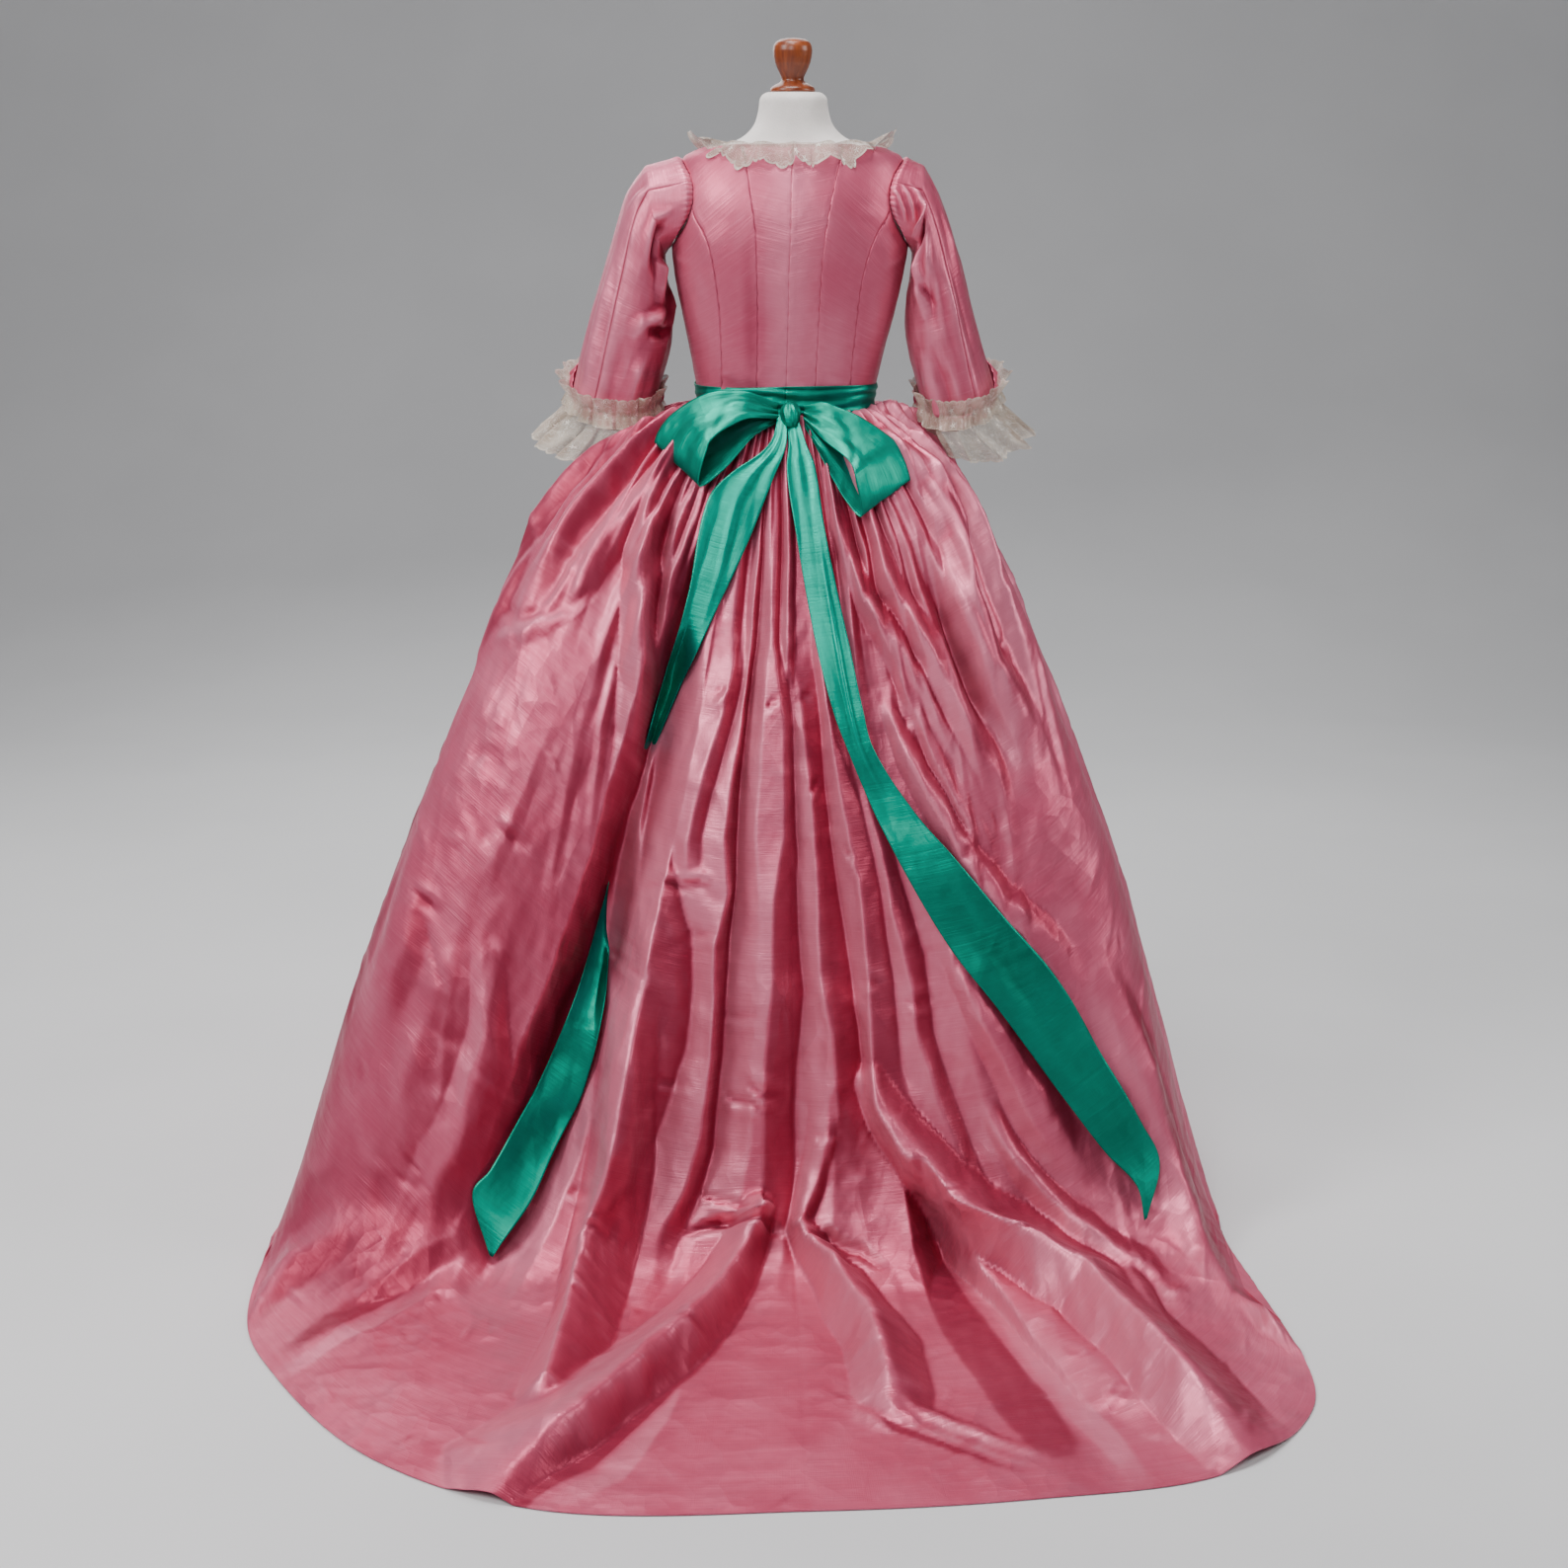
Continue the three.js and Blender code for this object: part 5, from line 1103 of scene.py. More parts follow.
# down the middle the cloth hangs in columns with flat faces: lines of (turn, down, height in mm), left to
# right, with the cloth running straight from each line to the next
columns = [
    [(-0.185, 0.2, 0), (-0.213, 0.275, 0), (-0.227, 0.335, 0), (-0.227, 0.395, 0), (-0.223, 0.455, 0),
     (-0.213, 0.51, 0), (-0.21, 0.63, 0), (-0.207, 0.68, 0)],
    [(-0.16, 0.2, 6), (-0.193, 0.25, 12), (-0.207, 0.285, 14), (-0.213, 0.34, 14), (-0.203, 0.39, 20),
     (-0.18, 0.455, 26), (-0.193, 0.525, 22), (-0.197, 0.59, 18), (-0.197, 0.66, 8)],
    [(-0.143, 0.19, 2), (-0.153, 0.235, 2), (-0.173, 0.315, 2), (-0.163, 0.365, 0), (-0.127, 0.415, 0),
     (-0.12, 0.46, 0), (-0.123, 0.505, 0), (-0.14, 0.56, 0), (-0.157, 0.585, 0), (-0.183, 0.66, 0)],
    [(-0.1, 0.185, 8), (-0.113, 0.225, 14), (-0.137, 0.29, 16), (-0.15, 0.345, 14), (-0.143, 0.37, 4),
     (-0.117, 0.415, 6), (-0.111, 0.46, 8), (-0.114, 0.505, 8), (-0.126, 0.56, 8), (-0.14, 0.6, 6),
     (-0.165, 0.66, 2)],
    [(-0.077, 0.185, 0), (-0.087, 0.22, 2), (-0.113, 0.285, 4), (-0.127, 0.34, 6), (-0.123, 0.37, 8),
     (-0.108, 0.415, 13), (-0.104, 0.46, 14), (-0.105, 0.505, 14), (-0.112, 0.56, 14), (-0.128, 0.6, 10),
     (-0.15, 0.66, 4)],
    [(-0.072, 0.2, 2), (-0.08, 0.23, 6), (-0.09, 0.285, 14), (-0.097, 0.335, 18), (-0.087, 0.38, 21),
     (-0.1, 0.42, 21), (-0.097, 0.455, 21), (-0.097, 0.5, 21), (-0.1, 0.56, 19), (-0.113, 0.615, 15),
     (-0.127, 0.645, 8), (-0.135, 0.68, 0)],
    [(-0.063, 0.185, -6), (-0.07, 0.23, -8), (-0.077, 0.285, -8), (-0.077, 0.36, -6), (-0.08, 0.415, -4),
     (-0.083, 0.465, -2), (-0.087, 0.52, -2), (-0.087, 0.575, -4), (-0.107, 0.64, -2), (-0.12, 0.68, 0)],
    [(-0.04, 0.185, 12), (-0.05, 0.25, 16), (-0.057, 0.335, 16), (-0.047, 0.38, 18), (-0.043, 0.455, 20),
     (-0.05, 0.515, 18), (-0.05, 0.575, 18), (-0.06, 0.635, 14), (-0.06, 0.67, 2)],
    [(-0.03, 0.185, 13), (-0.01, 0.25, 18), (-0.01, 0.335, 18), (-0.027, 0.38, 22), (-0.027, 0.455, 24),
     (-0.033, 0.515, 22), (-0.033, 0.575, 20), (-0.033, 0.63, 16), (-0.03, 0.665, 2)],
    [(-0.013, 0.185, 2), (0.007, 0.25, 2), (0.007, 0.335, 0), (0.01, 0.41, -4), (0.017, 0.455, -4),
     (0.007, 0.515, -4), (0.003, 0.58, -4), (-0.003, 0.64, -2)],
    [(0.012, 0.2, 2), (0.023, 0.23, 4), (0.037, 0.305, 10), (0.04, 0.365, 12), (0.04, 0.44, 12),
     (0.053, 0.49, 12), (0.057, 0.55, 13), (0.047, 0.58, 13), (0.043, 0.64, 8), (0.05, 0.68, 0)],
    [(0.05, 0.2, -2), (0.057, 0.23, -4), (0.06, 0.285, -6), (0.067, 0.36, -6), (0.08, 0.415, -8),
     (0.083, 0.455, -8), (0.09, 0.51, -8), (0.093, 0.54, -8), (0.113, 0.575, -6), (0.14, 0.64, 0)],
    [(0.065, 0.2, 8), (0.07, 0.235, 11), (0.087, 0.3, 15), (0.107, 0.375, 17), (0.107, 0.445, 19),
     (0.103, 0.51, 17), (0.105, 0.545, 14), (0.14, 0.6, 6), (0.17, 0.66, 0)],
    [(0.09, 0.235, 2), (0.107, 0.28, 4), (0.123, 0.325, 4), (0.137, 0.385, 4), (0.143, 0.45, 4),
     (0.143, 0.525, 4), (0.16, 0.58, 4), (0.19, 0.66, 0)],
    [(0.12, 0.24, 2), (0.128, 0.3, 4), (0.143, 0.355, 8), (0.15, 0.4, 13), (0.167, 0.46, 14),
     (0.167, 0.495, 14), (0.183, 0.55, 13), (0.203, 0.595, 10), (0.22, 0.66, 0)],
    [(0.15, 0.3, 0), (0.167, 0.375, 0), (0.19, 0.44, 0), (0.187, 0.5, 0), (0.207, 0.56, 0),
     (0.217, 0.585, 0), (0.235, 0.66, 0)],
    [(0.165, 0.3, 0), (0.187, 0.37, 5), (0.223, 0.435, 9), (0.233, 0.51, 9), (0.247, 0.59, 6),
     (0.26, 0.66, 0)],
    [(0.25, 0.37, 0), (0.28, 0.44, 0), (0.29, 0.51, 0), (0.3, 0.59, 0), (0.31, 0.66, 0)],
]
# breaks across the columns: three places that a hollow runs through, with a crest under it, and its depth,
# which is under 0 where the crest comes first
breaks = [
    ((-0.097, 0.372), (-0.15, 0.366), (-0.205, 0.385), -9),
    ((-0.225, 0.448), (-0.197, 0.452), (-0.177, 0.455), 7),
    ((-0.083, 0.533), (-0.057, 0.54), (-0.03, 0.54), 6),
    ((-0.06, 0.522), (-0.033, 0.532), (-0.013, 0.532), 5),
    ((-0.103, 0.61), (-0.063, 0.62), (-0.033, 0.63), 9),
    ((-0.135, 0.412), (-0.11, 0.41), (-0.1, 0.4), 4),
    ((0.037, 0.305), (0.045, 0.297), (0.053, 0.29), 7),
    ((0.093, 0.45), (0.11, 0.453), (0.127, 0.455), 5),
    ((-0.043, 0.232), (-0.03, 0.235), (-0.012, 0.228), 6),
    ((-0.117, 0.223), (-0.13, 0.228), (-0.14, 0.235), 5),
    ((0.083, 0.345), (0.095, 0.352), (0.105, 0.36), 5),
    ((-0.23, 0.64), (-0.215, 0.637), (-0.2, 0.635), 5),
    ((-0.09, 0.47), (-0.06, 0.475), (-0.03, 0.47), 3),
    ((0.15, 0.47), (0.18, 0.475), (0.2, 0.47), 4),
    ((-0.16, 0.53), (-0.13, 0.525), (-0.11, 0.53), 4),
    ((0.02, 0.565), (0.04, 0.57), (0.06, 0.565), 5),
]
# small pinches, where a crest is dented
dents = [(-0.087, 0.785), (0.173, 0.63), (-0.195, 0.68), (-0.185, 0.76), (0.27, 0.37), (0.24, 0.70),
         (0.30, 0.78), (-0.36, 0.42), (-0.43, 0.52)]
foldGain = {"hanging": 2.6, "train": 2.0}      # raises the listed folds together


def gainAt(down):
    return mix(foldGain["hanging"], foldGain["train"], ease((down - 0.66) / 0.24))


def placed(turn, down):
    # a place on the skirt as mm of cloth from the centre back and from the waist
    return turn * skirtSpan(down), down * skirt["long"]


def metric(paths, gain=lambda down: 1.0):
    return [[(*placed(a, b), c * gain(b), d, *lean) for a, b, c, d, *lean in path] for path in paths]


def hidden(turn):
    return ease((np.abs(turn) - 0.5) / 0.12)


def columnField(turn, down):
    high, low = skirt["columnsTop"], skirt["columnsFoot"]
    lines = [np.array(line) for line in columns]
    field = np.zeros(turn.shape)
    for j, level in enumerate(down[0]):
        if high < level < low:
            places = np.maximum.accumulate([np.interp(level, line[:, 1], line[:, 0]) for line in lines])
            tall = [np.interp(level, line[:, 1], line[:, 2]) for line in lines]
            field[:, j] = np.interp(turn[:, j], places, tall)
    return smoothed(field, 7, 0) * ease((down - high) / 0.07) * ease((low - down) / 0.06)


def waistPleats(rng):
    # pleats fixed at the waist: each runs down a way and dies out
    pleats = []
    count = 92
    for k in range(count):
        start = -1 + 2 * (k + 0.5 + rng.uniform(-0.3, 0.3)) / count
        end = rng.uniform(0.06, 0.18) if k % 2 else rng.uniform(0.15, 0.36)
        tall = rng.uniform(7.0, 13.0)
        wide = rng.uniform(4.0, 6.0)
        drift = rng.uniform(-0.012, 0.012) + 0.06 * start * end / 0.2
        pleats.append([(start, -0.01, tall, wide),
                       (start + 0.3 * drift, end * 0.35, tall * 1.2, wide * 1.6),
                       (start + drift, end * 0.75, tall * 0.6, wide * 2.2),
                       (start + drift * 1.3, end, 0, wide * 2.6)])
    return pleats


def hipFans():
    # long fine pleats that fan out over both hips, the left ones lower and shorter
    fans = []
    for side, share, reach in ((-1, 0.75, 0.55), (1, 1.0, 0.8)):
        for k in range(9):
            start = 0.165 + 0.038 * k + 0.008 * math.sin(5 * k * side)
            fans.append([(side * start, 0.0, 3, 4),
                         (side * (start + 0.018), 0.07 * reach, 7 * share, 6),
                         (side * (start + 0.03), 0.15 * reach, 8 * share, 8),
                         (side * (start + 0.028), (0.25 + 0.03 * (k % 3)) * reach, 4 * share, 10),
                         (side * (start + 0.026), (0.36 + 0.06 * (k % 2)) * reach, 0, 12)])
    return fans


def hiddenFlutes(rng):
    # flutes of the sides and front, each one a little different
    flutes = []
    count = 30
    for k in range(count):
        start = -1 + 2 * (k + 0.5 + rng.uniform(-0.3, 0.3)) / count
        if abs(start) < 0.5:
            continue
        tall, wide = rng.uniform(6, 14), rng.uniform(18, 30)
        flutes.append([(start, 0.02, tall * 0.4, wide * 0.4), (start * 0.99, 0.25, tall, wide),
                       (start, 0.6, tall, wide * 1.7), (start, 1.02, tall * 0.8, wide * 2.0)])
    return flutes


def fillerFolds(rng):
    # folds of middling size that fill the spaces
    fillers = []
    for _ in range(70):
        t, d = rng.uniform(-0.6, 0.6), rng.uniform(0.08, 0.8)
        long, drift = rng.uniform(0.08, 0.22), rng.uniform(-0.03, 0.03)
        tall, wide = rng.choice((-1, 1)) * rng.uniform(3, 8), rng.uniform(10, 20) * (0.5 + d)
        fillers.append([(t - drift, d - long, 0, wide * 0.6), (t, d, tall, wide),
                        (t + drift * 1.4, d + long, 0, wide)])
    return fillers


def smallMarks(rng):
    # dents in the crests, breaks across the columns and crisp short wrinkles, all in mm of cloth
    marks = []
    for dent in dents:
        slant = rng.uniform(-0.4, 0.4)
        x, y = placed(*dent)
        marks.append([(x - 26, y - 26 * slant, 0, 6), (x, y, -5, 9), (x + 24, y + 30 * slant, 0, 6)])
        marks.append([(x - 22, y - 10 - 22 * slant, 0, 7), (x, y - 13, 3, 9),
                      (x + 24, y - 12 + 20 * slant, 0, 7)])
    for *places, depth in breaks:
        for drop, share in ((0, -0.8), (9, 0.6)):
            (x0, y0), (x1, y1), (x2, y2) = [placed(a, b) for a, b in places]
            first = mix(y0 + drop, y1 + drop, 0.7)
            second = mix(y1 + drop, y2 + drop, 0.5)
            marks.append([(x0, y0 + drop - 2, 0, 4), (mix(x0, x1, 0.5), first, share * depth, 7),
                          (mix(x1, x2, 0.4), second, share * depth * 0.8, 8), (x2, y2 + drop + 3, 0, 4)])
    for _ in range(460):
        t, d = rng.uniform(-0.62, 0.62), rng.uniform(0.16, 1.0)
        x, y = placed(t, d)
        slope, long = rng.normal(0.0, 0.7), rng.uniform(14, 50)
        dx, dy = long * math.cos(slope), long * math.sin(slope)
        tall, wide = rng.uniform(-3.0, 3.0), rng.uniform(7, 13)
        marks.append([(x - dx, y - dy, 0, wide),
                      (x + rng.uniform(-6, 6), y + rng.uniform(-6, 6), tall, wide),
                      (x + dx, y + dy, 0, wide)])
    return marks


def foldField(turn, down):
    # how far the cloth stands off its smooth shape at each place, in mm
    x, y = placed(turn, down)
    # crisp silk folds wander a little, so the places do
    stray = ease(down / 0.15) * (1 - 0.7 * hidden(turn))
    x = x + stray * (2.2 * ripple(x / 22, y / 95, 35) + 1.0 * ripple(x / 16, y / 30, 36))
    y = y + stray * 6 * ripple(x / 30, y / 80, 37)
    height = 1.7 * columnField(x / skirtSpan(down), down)
    for start, half, end, low, high, wide, tall in broadFolds:
        t = (down - low) / (high - low)
        middle = mix(start, end, t) + 4 * t * (1 - t) * (half - (start + end) / 2)
        fade = ease(t / 0.3) * ease((1 - t) / 0.3) * ((t > 0) & (t < 1))
        height += tall * fade * bell((turn - middle) * skirtSpan(down) / wide)
    box = 0.5 * ease((down - 0.25) / 0.15) * ease((0.68 - down) / 0.08)
    settled = mix(1, 0.35, ease((down - 0.92) / 0.08))
    height += ridges(x, y, metric(skirtFolds, gainAt), 0.85, box) * settled
    # pleats and fillers keep off the columns, and the flanks stay calm
    calm = ease((down - 0.17) / 0.06) * ease((0.68 - down) / 0.06) \
        * ease((0.26 - np.abs(turn + 0.01)) / 0.05)
    flank = ease((down - 0.2) / 0.1) * ease((np.abs(turn) - 0.26) / 0.06) * np.where(turn < 0, 0.6, 0.35)
    rng = np.random.default_rng(1780)
    height += ridges(x, y, metric(waistPleats(rng)), 0.5) * (1 - 0.7 * calm)
    height += ridges(x, y, metric(hipFans()), 0.8)
    height += ridges(x, y, metric(hiddenFlutes(rng)), 0.3) * hidden(turn)
    height += 0.75 * ridges(x, y, metric(fillerFolds(rng)), 0.85) * (1 - 0.85 * calm) * (1 - flank)
    height += ridges(x, y, smallMarks(rng), 0.8)
    height += (1.3 * ripple(x / 60, y / 85, 41) + 0.6 * ripple(x / 24, y / 38, 43)) * ease(down / 0.12)
    height += 0.3 * ripple(x / 8, y / 11, 47, 3) * ease(down / 0.1)
    # the centre seam is drawn in, the others barely
    for seam in (-1.24, -0.76, -0.38, 0.0, 0.38, 0.76, 1.24):
        depth = 1.0 if seam == 0 else 0.03
        groove = np.exp(-(((turn - seam) * skirtSpan(down)) / 2.6) ** 2)
        height -= depth * groove * ease((down - 0.05) / 0.1)
    height += 0.7 * np.exp(-(((1 - down) * skirt["long"] - 14) / 7) ** 2)      # the turned hem
    return height * ease(down / 0.012 + 0.25)


def across(field, old, new):
    # a field of lines at the old turns, read at new ones
    i = np.interp(new, old, np.arange(len(old)))
    k = np.minimum(i.astype(int), len(old) - 2)
    return mix(field[k], field[k + 1], (i - k)[:, None])


def skirtPaintedShading(height, turns, downs):
    # painted shade in the hollows and between the waist pleats, painted highlight on the crests, and painted
    # light and shade by the way each face turns, worked out on an even spread of lines that runs on past the
    # seam
    even = np.linspace(turns[0], turns[-1], 977)
    spread = across(height, turns, even)
    more = 12
    spread = np.concatenate([spread[-more - 1:-1], spread, spread[1:more + 1]])
    tone = 0.5 * relief(spread, 8, 15) + 0.4 * relief(spread, 2, 3.5) \
        + 0.8 * lie(spread, (even[1] - even[0]) * skirtSpan(downs)[None, :]) \
        + 0.9 * np.minimum(relief(spread, 3, 4), 0) * ease((0.22 - downs) / 0.12)
    return across(tone[more:-more], even, turns)


def buildSkirt():
    # all turns in order from the first panel's edge round to the last one's, which is the same line again
    rows = skirt["rows"]
    downs = np.linspace(0, 1, rows)
    spans = [np.linspace(part["low"], part["high"], part["lines"]) for part in panels.values()]
    turns = np.concatenate([span[:-1] for span in spans] + [spans[-1][-1:]])
    wrapped = np.where(turns > 1.0, turns - 2, turns)
    base = np.stack([skirtLine(t, downs) for t in wrapped])
    # the cloth bends on to the floor in a wide curve
    share = ease((downs - 0.42) / 0.12) * ease((0.985 - downs) / 0.10)
    base = mix(base, smoothed(base, 47, 1), share[None, :, None])
    out = facing(base, ring=True) * -1
    turn, down = np.broadcast_arrays(wrapped[:, None], downs[None, :])
    height = foldField(turn, down)
    points = base + out * height[..., None]
    hemLift = 3.0 * np.clip(ripple(turn * 14, down * 0, 53), 0, 1) \
        * ease((down - 0.955) / 0.045) * (np.abs(turn) < 0.6)
    points[..., 2] = np.maximum(points[..., 2] + hemLift, skirt["low"])
    shade = skirtPaintedShading(height, turns, downs)
    # the flanks lie in the skirt's own shade
    shade -= np.where(turn < 0, 0.6, 0.3) * ease((np.abs(turn) - 0.27) / 0.15) \
        * ease((down - 0.3) / 0.3) * ease((0.95 - down) / 0.12)
    normals = facing(points, ring=True) * -1
    start = 0
    for name, part in panels.items():
        own = (slice(start, start + part["lines"]), slice(None, None, -1))
        piece = sheetFrom(name + "_cloth", points[own], pinkSilk, part["cut"],
                          thick=wallOf["silk"], shade=shade[own], normals=normals[own])
        finish(name)
        start += part["lines"] - 1
    print("skirt made")
    return {"turns": turns, "downs": downs, "base": base, "out": out, "height": height}


def onSkirt(ground, turn, down, lift, reach, stiff):
    # points over the skirt at turns and downs, resting on the crests within reach
    turns, downs = ground["turns"], ground["downs"]
    numbers = np.arange(len(turns))
    j = down * (len(downs) - 1)

    def pick(field, turn):
        i = np.interp(turn, turns, numbers)
        i0 = np.clip(i.astype(int), 0, len(turns) - 2)
        j0 = np.clip(j.astype(int), 0, len(downs) - 2)
        a, b = i - i0, j - j0
        if field.ndim == 3:
            a, b = a[..., None], b[..., None]
        return (field[i0, j0] * (1 - a) + field[i0 + 1, j0] * a) * (1 - b) \
            + (field[i0, j0 + 1] * (1 - a) + field[i0 + 1, j0 + 1] * a) * b

    top = np.max([pick(ground["height"], turn + k * reach) - 14 * k * k for k in np.linspace(-1, 1, 13)],
                 axis=0)
    # a ribbon is stiffer than the pleats under it, so it lies level over them
    ridge = np.pad(top.max(axis=0), 9, mode="edge")
    ridge = np.max([ridge[k:len(ridge) - 6 + k] for k in range(7)], axis=0)
    ridge = np.convolve(ridge, np.hanning(13) / np.hanning(13).sum(), mode="valid")
    top = np.maximum(top, mix(top, ridge[None, :], 0.85 * stiff))
    return pick(ground["base"], turn) + pick(ground["out"], turn) * (top + lift)[..., None]


# the two loops of the bow: their far and near edges, from the knot out and back
loopRows = {
    -1: table("at farX farY farZ nearX nearY nearZ",
              (0, -14, -104, 1123, -14, -117, 1106), (1, -62, -112, 1143, -58, -146, 1108),
              (2, -118, -118, 1136, -98, -176, 1088), (3, -166, -120, 1106, -110, -190, 1071),
              (4, -182, -122, 1072, -120, -190, 1022), (5, -140, -120, 1080, -84, -166, 1044),
              (6, -60, -108, 1108, -46, -136, 1084), (7, -15, -101, 1112, -15, -113, 1099)),
    1: table("at farX farY farZ nearX nearY nearZ",
             (0, 22, -104, 1121, 22, -118, 1103), (1, 56, -114, 1126, 50, -152, 1080),
             (2, 112, -126, 1100, 84, -182, 1054), (3, 156, -136, 1068, 92, -200, 1032),
             (4, 176, -140, 1030, 100, -200, 982), (5, 130, -136, 1046, 76, -178, 1006),
             (6, 62, -116, 1090, 46, -146, 1056), (7, 23, -101, 1110, 23, -114, 1096)),
}
# the two tails: from the knot down the skirt, between two turns
tailRows = {
    -1: table("down from to", (0.003, -0.035, 0.004), (0.03, -0.06, 0), (0.06, -0.17, -0.045),
              (0.085, -0.213, -0.075), (0.155, -0.207, -0.14), (0.215, -0.213, -0.18), (0.26, -0.22, -0.2),
              (0.3, -0.226, -0.212), (0.36, -0.232, -0.218), (0.42, -0.24, -0.223), (0.485, -0.252, -0.22),
              (0.56, -0.273, -0.228), (0.62, -0.293, -0.25), (0.665, -0.307, -0.262),
              (0.695, -0.317, -0.272), (0.725, -0.288, -0.284)),
    1: table("down from to", (0.003, 0.0, 0.05), (0.03, 0.01, 0.075), (0.05, 0.0, 0.097),
             (0.1, 0.023, 0.104), (0.19, 0.06, 0.128), (0.245, 0.087, 0.14), (0.275, 0.107, 0.15),
             (0.33, 0.143, 0.205), (0.37, 0.173, 0.25), (0.435, 0.223, 0.307), (0.49, 0.27, 0.345),
             (0.565, 0.32, 0.379), (0.645, 0.36, 0.405), (0.685, 0.38, 0.413), (0.72, 0.380, 0.384)),
}
band = {"low": 1110.5, "high": 1146.0, "lines": 301, "rows": 26, "off": 4.7, "map": (0.74, 0.05),
        "cut": (0.75, 0.045)}


def addBand():
    low, high = band["low"], band["high"]
    turns, heights = np.broadcast_arrays(np.linspace(0, 360, band["lines"])[:, None],
                                         np.linspace(low, high, band["rows"])[None, :])
    share = (heights - low) / (high - low)
    near = np.abs((turns + 180) % 360 - 180)
    wander = 2.2 * ripple(turns / 26, share * 2.0, 61) + 1.5 * np.sin(np.radians(turns) * 3)
    gathers = 1.1 * np.sin(share * 19 + wander) * (0.55 + 0.9 * np.exp(-near / 28))
    gathers = gathers + 0.5 * ripple(turns / 7, share * 4, 63)
    lift = band["off"] + gathers - 0.8 * (2 * share - 1) ** 4
    points = torsoAt(turns, heights) + torsoFacing(turns, heights) * lift[..., None]
    points[..., 2] += 3.0 * np.sin(np.radians(turns) * 2 + 0.6) * (share - 0.5)
    # painted shade between the gathers and painted highlight on them
    piece = sheetFrom("waist_band", points, greenSilk, band["map"], ring=True,
                      thick=wallOf["band"], shade=relief(lift, 4, 1.0))
    finish("sash_waist")


knot = {"place": (4, -110.5, 1110), "half": (15, 14, 18), "lean": 0.35, "gathers": 9, "map": (0.12, 0.06)}


def addKnot():
    bpy.ops.object.select_all(action="DESELECT")
    bpy.ops.mesh.primitive_uv_sphere_add(segments=72, ring_count=44, radius=1)
    piece = bpy.context.object
    piece.name = "sash_knot"
    mesh = piece.data
    spots = np.empty(len(mesh.vertices) * 3)
    mesh.vertices.foreach_get("co", spots)
    p = spots.reshape(-1, 3)
    turn = np.arctan2(p[:, 0], -p[:, 1])
    # the ribbon wraps over the front in gathers that draw together at top and foot
    phase = turn * knot["gathers"] + 2.2 * p[:, 2] + 0.8 * np.sin(3 * turn)
    gathers = 0.055 * np.cos(phase) * np.cos(p[:, 2] * 1.1)
    gathers += 0.03 * ripple(turn * 2.5, p[:, 2] * 2.5, 71)
    waist = 1 - 0.13 * np.exp(-((p[:, 2] + 0.15) / 0.4) ** 2)
    wide, deep, tall = knot["half"]
    q = np.stack([p[:, 0] * wide * (1 + gathers) * waist, p[:, 1] * deep * (1 + gathers), p[:, 2] * tall],
                 axis=-1)
    q[:, 1] += q[:, 2] * knot["lean"]
    q += np.array(knot["place"])
    mesh.vertices.foreach_set("co", (q * mm).ravel())
    mesh.update()
    bpy.ops.object.shade_smooth()
    scaleMap(mesh, knot["map"])
    dress(piece, greenSilk)
    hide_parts("bow_knot")


loops = {"last": 7.0, "lines": 181, "steps": 37, "map": (0.44, 0.085), "cut": (0.42, 0.075)}


def addLoops():
    for side, hand in ((-1, "left"), (1, "right")):
        lines = linesOf(loopRows[side], "at")
        last = loops["last"]
        at = np.linspace(0.0, last, loops["lines"])[:, None]
        far = np.stack([lines["far" + axis](at) for axis in "XYZ"], axis=-1)
        near = np.stack([lines["near" + axis](at) for axis in "XYZ"], axis=-1)
        t = np.linspace(0, 1, loops["steps"])[None, :]
        points = mix(far, near, t[..., None])
        out = facing(points) * -side
        # gathers fan out from the knot at both ends, and the ribbon sags a little between them
        fan = np.exp(-at / 1.1) + np.exp(-(last - at) / 1.1)
        lift = fan * 2.6 * np.cos(t * 15 + 1.2 * ripple(at * 1.2, t * 2, 81 + side))
        lift += 1.4 * ripple(at * 1.1, t * 2.6, 83 + side, 3) + 0.5 * ripple(at * 4, t * 5, 85 + side)
        lift += 2.2 * np.exp(-((at - 1.9) / 0.5) ** 2) * np.cos(t * 6 + 0.6)
        lift -= 1.4 * np.exp(-((at - 1.2 - t) / 0.22) ** 2)
        points = points + out * lift[..., None]
        # painted shade in the ribbon's hollows and painted highlight on its ridges, and the loops a little
        # darker all over
        shade = relief(lift, 6, 2.2) - 0.15
        piece = sheetFrom(f"bow_{hand}", points[:, ::side], greenSilk, loops["map"],
                          thick=wallOf["ribbon"], inward=False, shade=shade[:, ::side])
        finish(f"bow_loop_{hand}")


tails = {
    -1: {"cut": (0.12, 1.05), "area": 0.052}, 1: {"cut": (0.11, 1.05), "area": 0.066},
    "lines": 27, "rows": 220, "off": 3.4, "tuck": 17, "map": (0.07, 1.0),
}


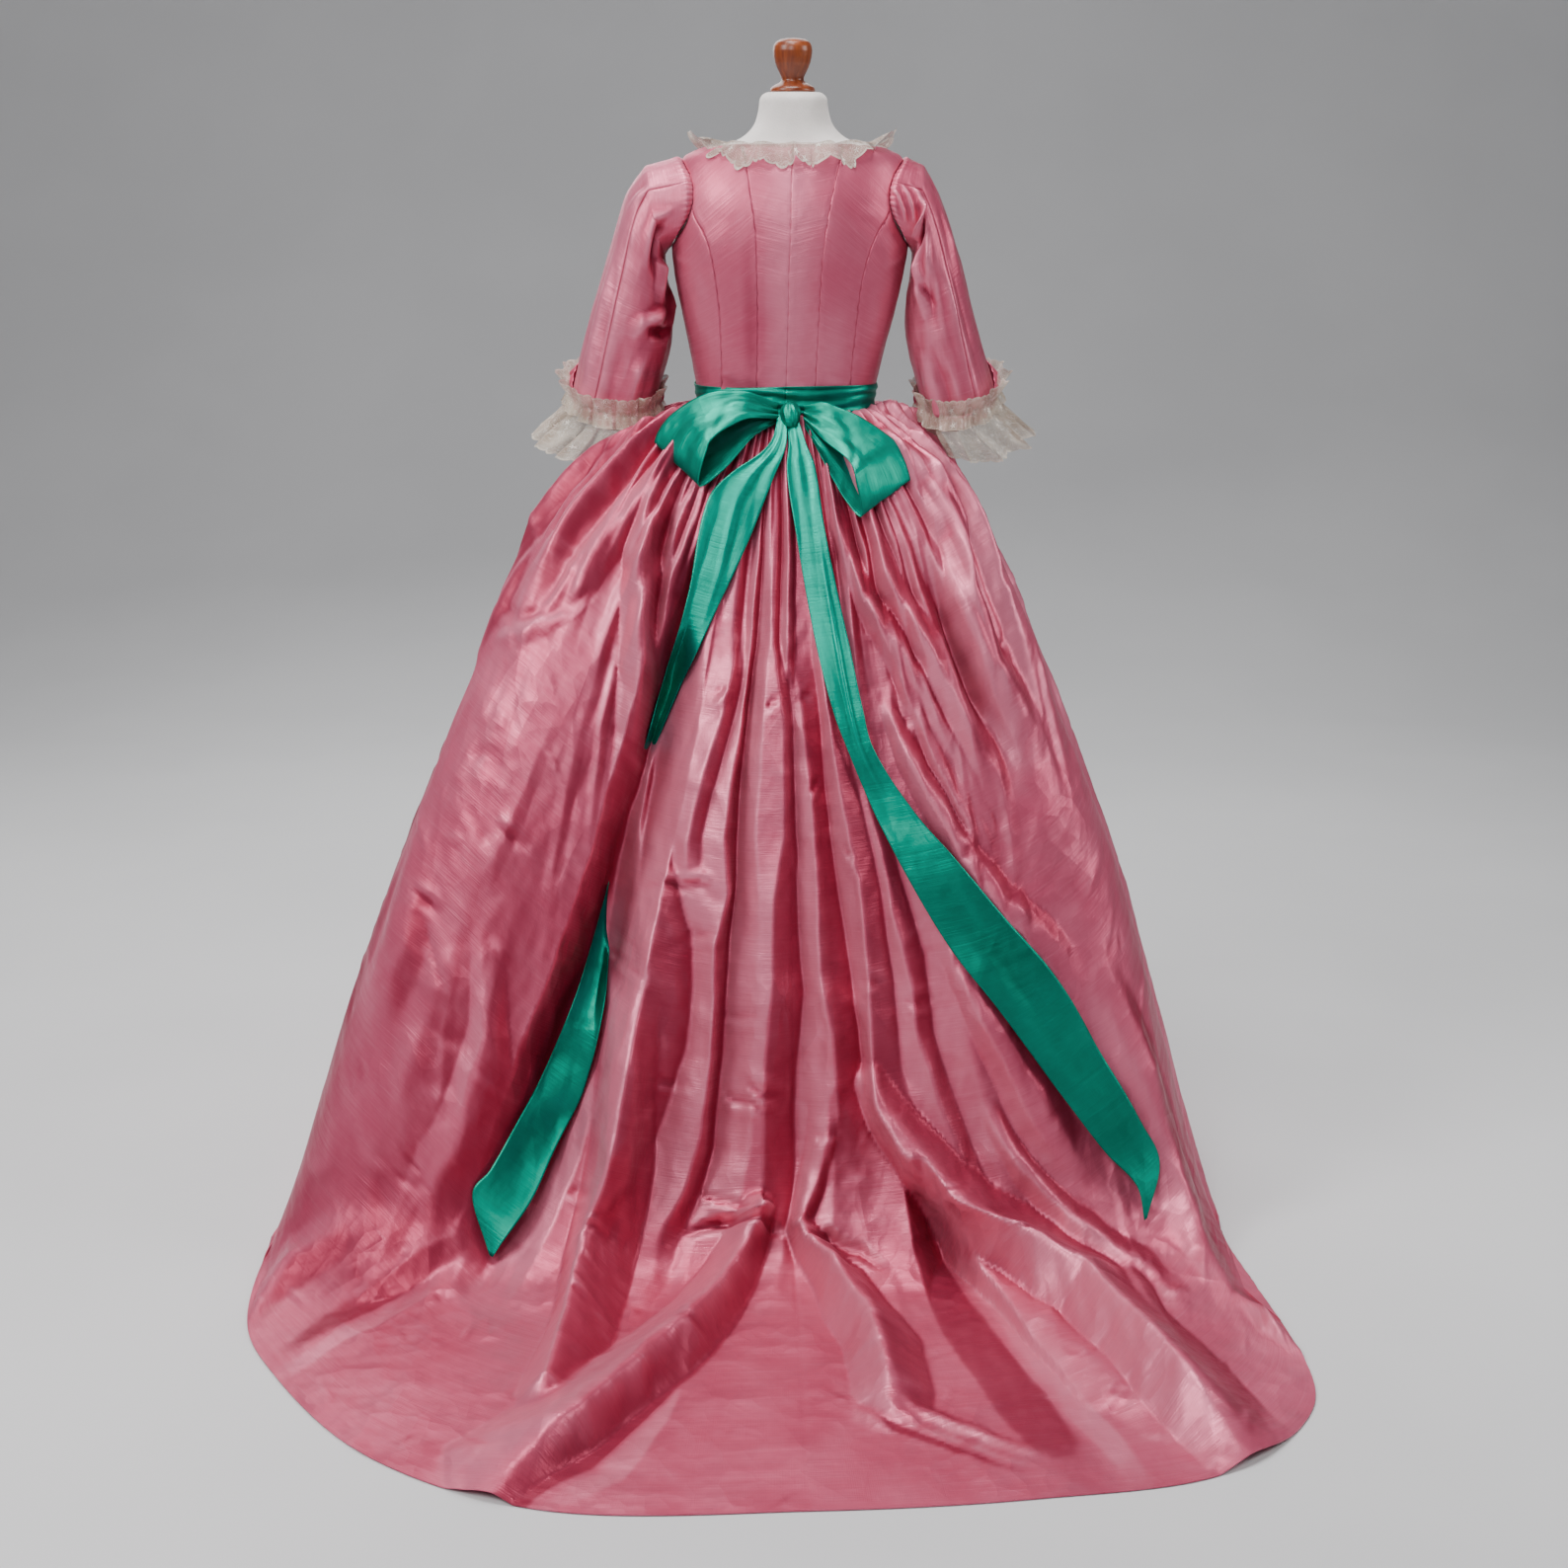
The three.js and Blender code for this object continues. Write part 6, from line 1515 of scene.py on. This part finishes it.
def addTails(ground):
    for side, hand in ((-1, "left"), (1, "right")):
        rows = tailRows[side]
        down = np.linspace(rows[0]["down"], rows[-1]["down"], tails["rows"])[None, :]
        t = np.linspace(0, 1, tails["lines"])[:, None]
        down, t = np.broadcast_arrays(down, t)
        turn = mix(curve(rows, "down", "from")(down), curve(rows, "down", "to")(down), t)
        wave = 0.7 * ripple(t * 2.2, down * 22, 91 + side, 3) + 0.2 * ripple(t * 8, down * 60, 95)
        wave += 1.0 * np.exp(-((down - 0.05) / 0.03) ** 2) * np.cos(t * 13 + 20 * down)
        tucked, reach, stiff, paintedLowShade = 0.0, 0.03, 1.0, 0.0
        if side > 0:
            # a lengthwise fold where the tail leaves the bow, and a soft one further down
            wave += 3.4 * np.exp(-((t - 0.62 + 1.3 * (down - 0.2)) / 0.07) ** 2) * bell((down - 0.2) / 0.13)
            wave += 2.6 * np.exp(-((t - 0.3) / 0.16) ** 2) * bell((down - 0.52) / 0.16)
        else:
            # half way down it slips into a fold of the skirt, then comes out again
            below = ease((down - 0.16) / 0.07)
            tucked = ease((down - 0.265) / 0.03) * ease((0.41 + 0.05 * t - down) / 0.03)
            reach = mix(0.03, 0.008, below)
            stiff = 1 - below * ease((0.52 - down) / 0.06)
            # painted shade on the left tail below where it comes out of the fold
            paintedLowShade = 0.2 * ease((down - 0.4) / 0.1)
            wave += 3.2 * np.exp(-((t - 0.55 - 2.2 * (down - 0.1)) / 0.1) ** 2) * bell((down - 0.1) / 0.09)
            wave += 2.2 * np.cos(t * 5 + 40 * down) * bell((down - 0.58) / 0.12)
        points = onSkirt(ground, turn, down, tails["off"] + wave - tails["tuck"] * tucked, reach, stiff)
        # painted highlight, brightest near the bow, with painted shade in the ribbon's hollows and on the
        # left tail further down
        shade = relief(wave, 6, 2.0) + 0.7 * (1 - ease((down - 0.1) / 0.4)) - paintedLowShade
        piece = sheetFrom(f"sash_end_{hand}", points[::-1], greenSilk, tails["map"],
                          thick=wallOf["ribbon"], inward=False, shade=shade[::-1])
        finish(f"sash_tail_{hand}")
    print("sash made")


def addStandLooks():
    for name in ("stand_base", "stand_pole", "neck_finial"):
        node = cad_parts[name]
        node.data.materials.clear()
        node.data.materials.append(wood)


# turned knob: its outline as radius and height
knob = {"centre": 7, "points": 84, "steps": 60, "outline": [
    (0.001, 1540.4), (30, 1540.4), (31, 1541.5), (31, 1544), (29.5, 1546.5), (25, 1549.5), (19, 1552.5),
    (15.6, 1555.5), (15.2, 1558), (16, 1561), (18.5, 1566), (21.5, 1572), (24.3, 1579), (26.2, 1587),
    (27, 1595), (26.2, 1601), (23.5, 1606), (17, 1609.8), (9, 1611), (0.001, 1611)]}


def addFinial():
    rows = np.array(knob["outline"])
    steps = lengthsOf(rows)
    fine = np.linspace(0, steps[-1], knob["points"])
    across = knob["centre"] * mm
    bpy.ops.object.select_all(action="DESELECT")
    bpy.ops.mesh.primitive_plane_add(size=0.001)
    piece = bpy.context.object
    piece.name = "finial_knob"
    mesh = piece.data
    build = bmesh.new()
    spots = [build.verts.new((across + np.interp(s, steps, rows[:, 0]) * mm, 0,
                              np.interp(s, steps, rows[:, 1]) * mm)) for s in fine]
    for a, b in zip(spots[:-1], spots[1:]):
        build.edges.new((a, b))
    build.to_mesh(mesh)
    build.free()
    bpy.ops.object.mode_set(mode="EDIT")
    bpy.ops.mesh.select_all(action="SELECT")
    bpy.ops.mesh.spin(steps=knob["steps"], angle=2 * math.pi, center=(across, 0, 0), axis=(0, 0, 1))
    bpy.ops.mesh.remove_doubles(threshold=0.00003)
    bpy.ops.mesh.normals_make_consistent(inside=False)
    bpy.ops.object.mode_set(mode="OBJECT")
    bpy.ops.object.shade_smooth()
    dress(piece, wood)
    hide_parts("neck_finial")


# metres: a level sheet that turns up behind in a quarter round, arc long
paper = {"wide": 24, "long": 18, "near": -6.5, "level": 9.0, "radius": 3.0, "arc": 4.7, "under": 0.0005}


def addFloor():
    # pale paper that runs back from the camera and curves up behind
    bpy.ops.mesh.primitive_grid_add(x_subdivisions=2, y_subdivisions=60, size=1)
    floor = bpy.context.object
    floor.name = "studio_floor"
    spots = np.empty(len(floor.data.vertices) * 3)
    floor.data.vertices.foreach_get("co", spots)
    spots = spots.reshape(-1, 3)
    level, radius, arc = paper["level"], paper["radius"], paper["arc"]
    run = (spots[:, 1] + 0.5) * paper["long"]
    bend = np.clip((run - level) / arc, 0, 1) * math.pi / 2
    back = np.minimum(run, level) + radius * np.sin(bend)
    rise = radius * (1 - np.cos(bend)) + np.maximum(run - level - arc, 0)
    spots = np.stack([spots[:, 0] * paper["wide"], back + paper["near"], rise - paper["under"]], axis=-1)
    floor.data.vertices.foreach_set("co", spots.ravel())
    floor.data.update()
    bpy.ops.object.shade_smooth()
    floor.data.materials.append(floorMaterial())
    print("floor made")


addCamera()
addLamps()
addFloor()
addStandLooks()
addFinial()
addForm()
addBodice()
addSleeves()
addCuffs()
addNeckLace()
ground = buildSkirt()
addBand()
addKnot()
addLoops()
addTails(ground)

bpy.context.view_layer.update()
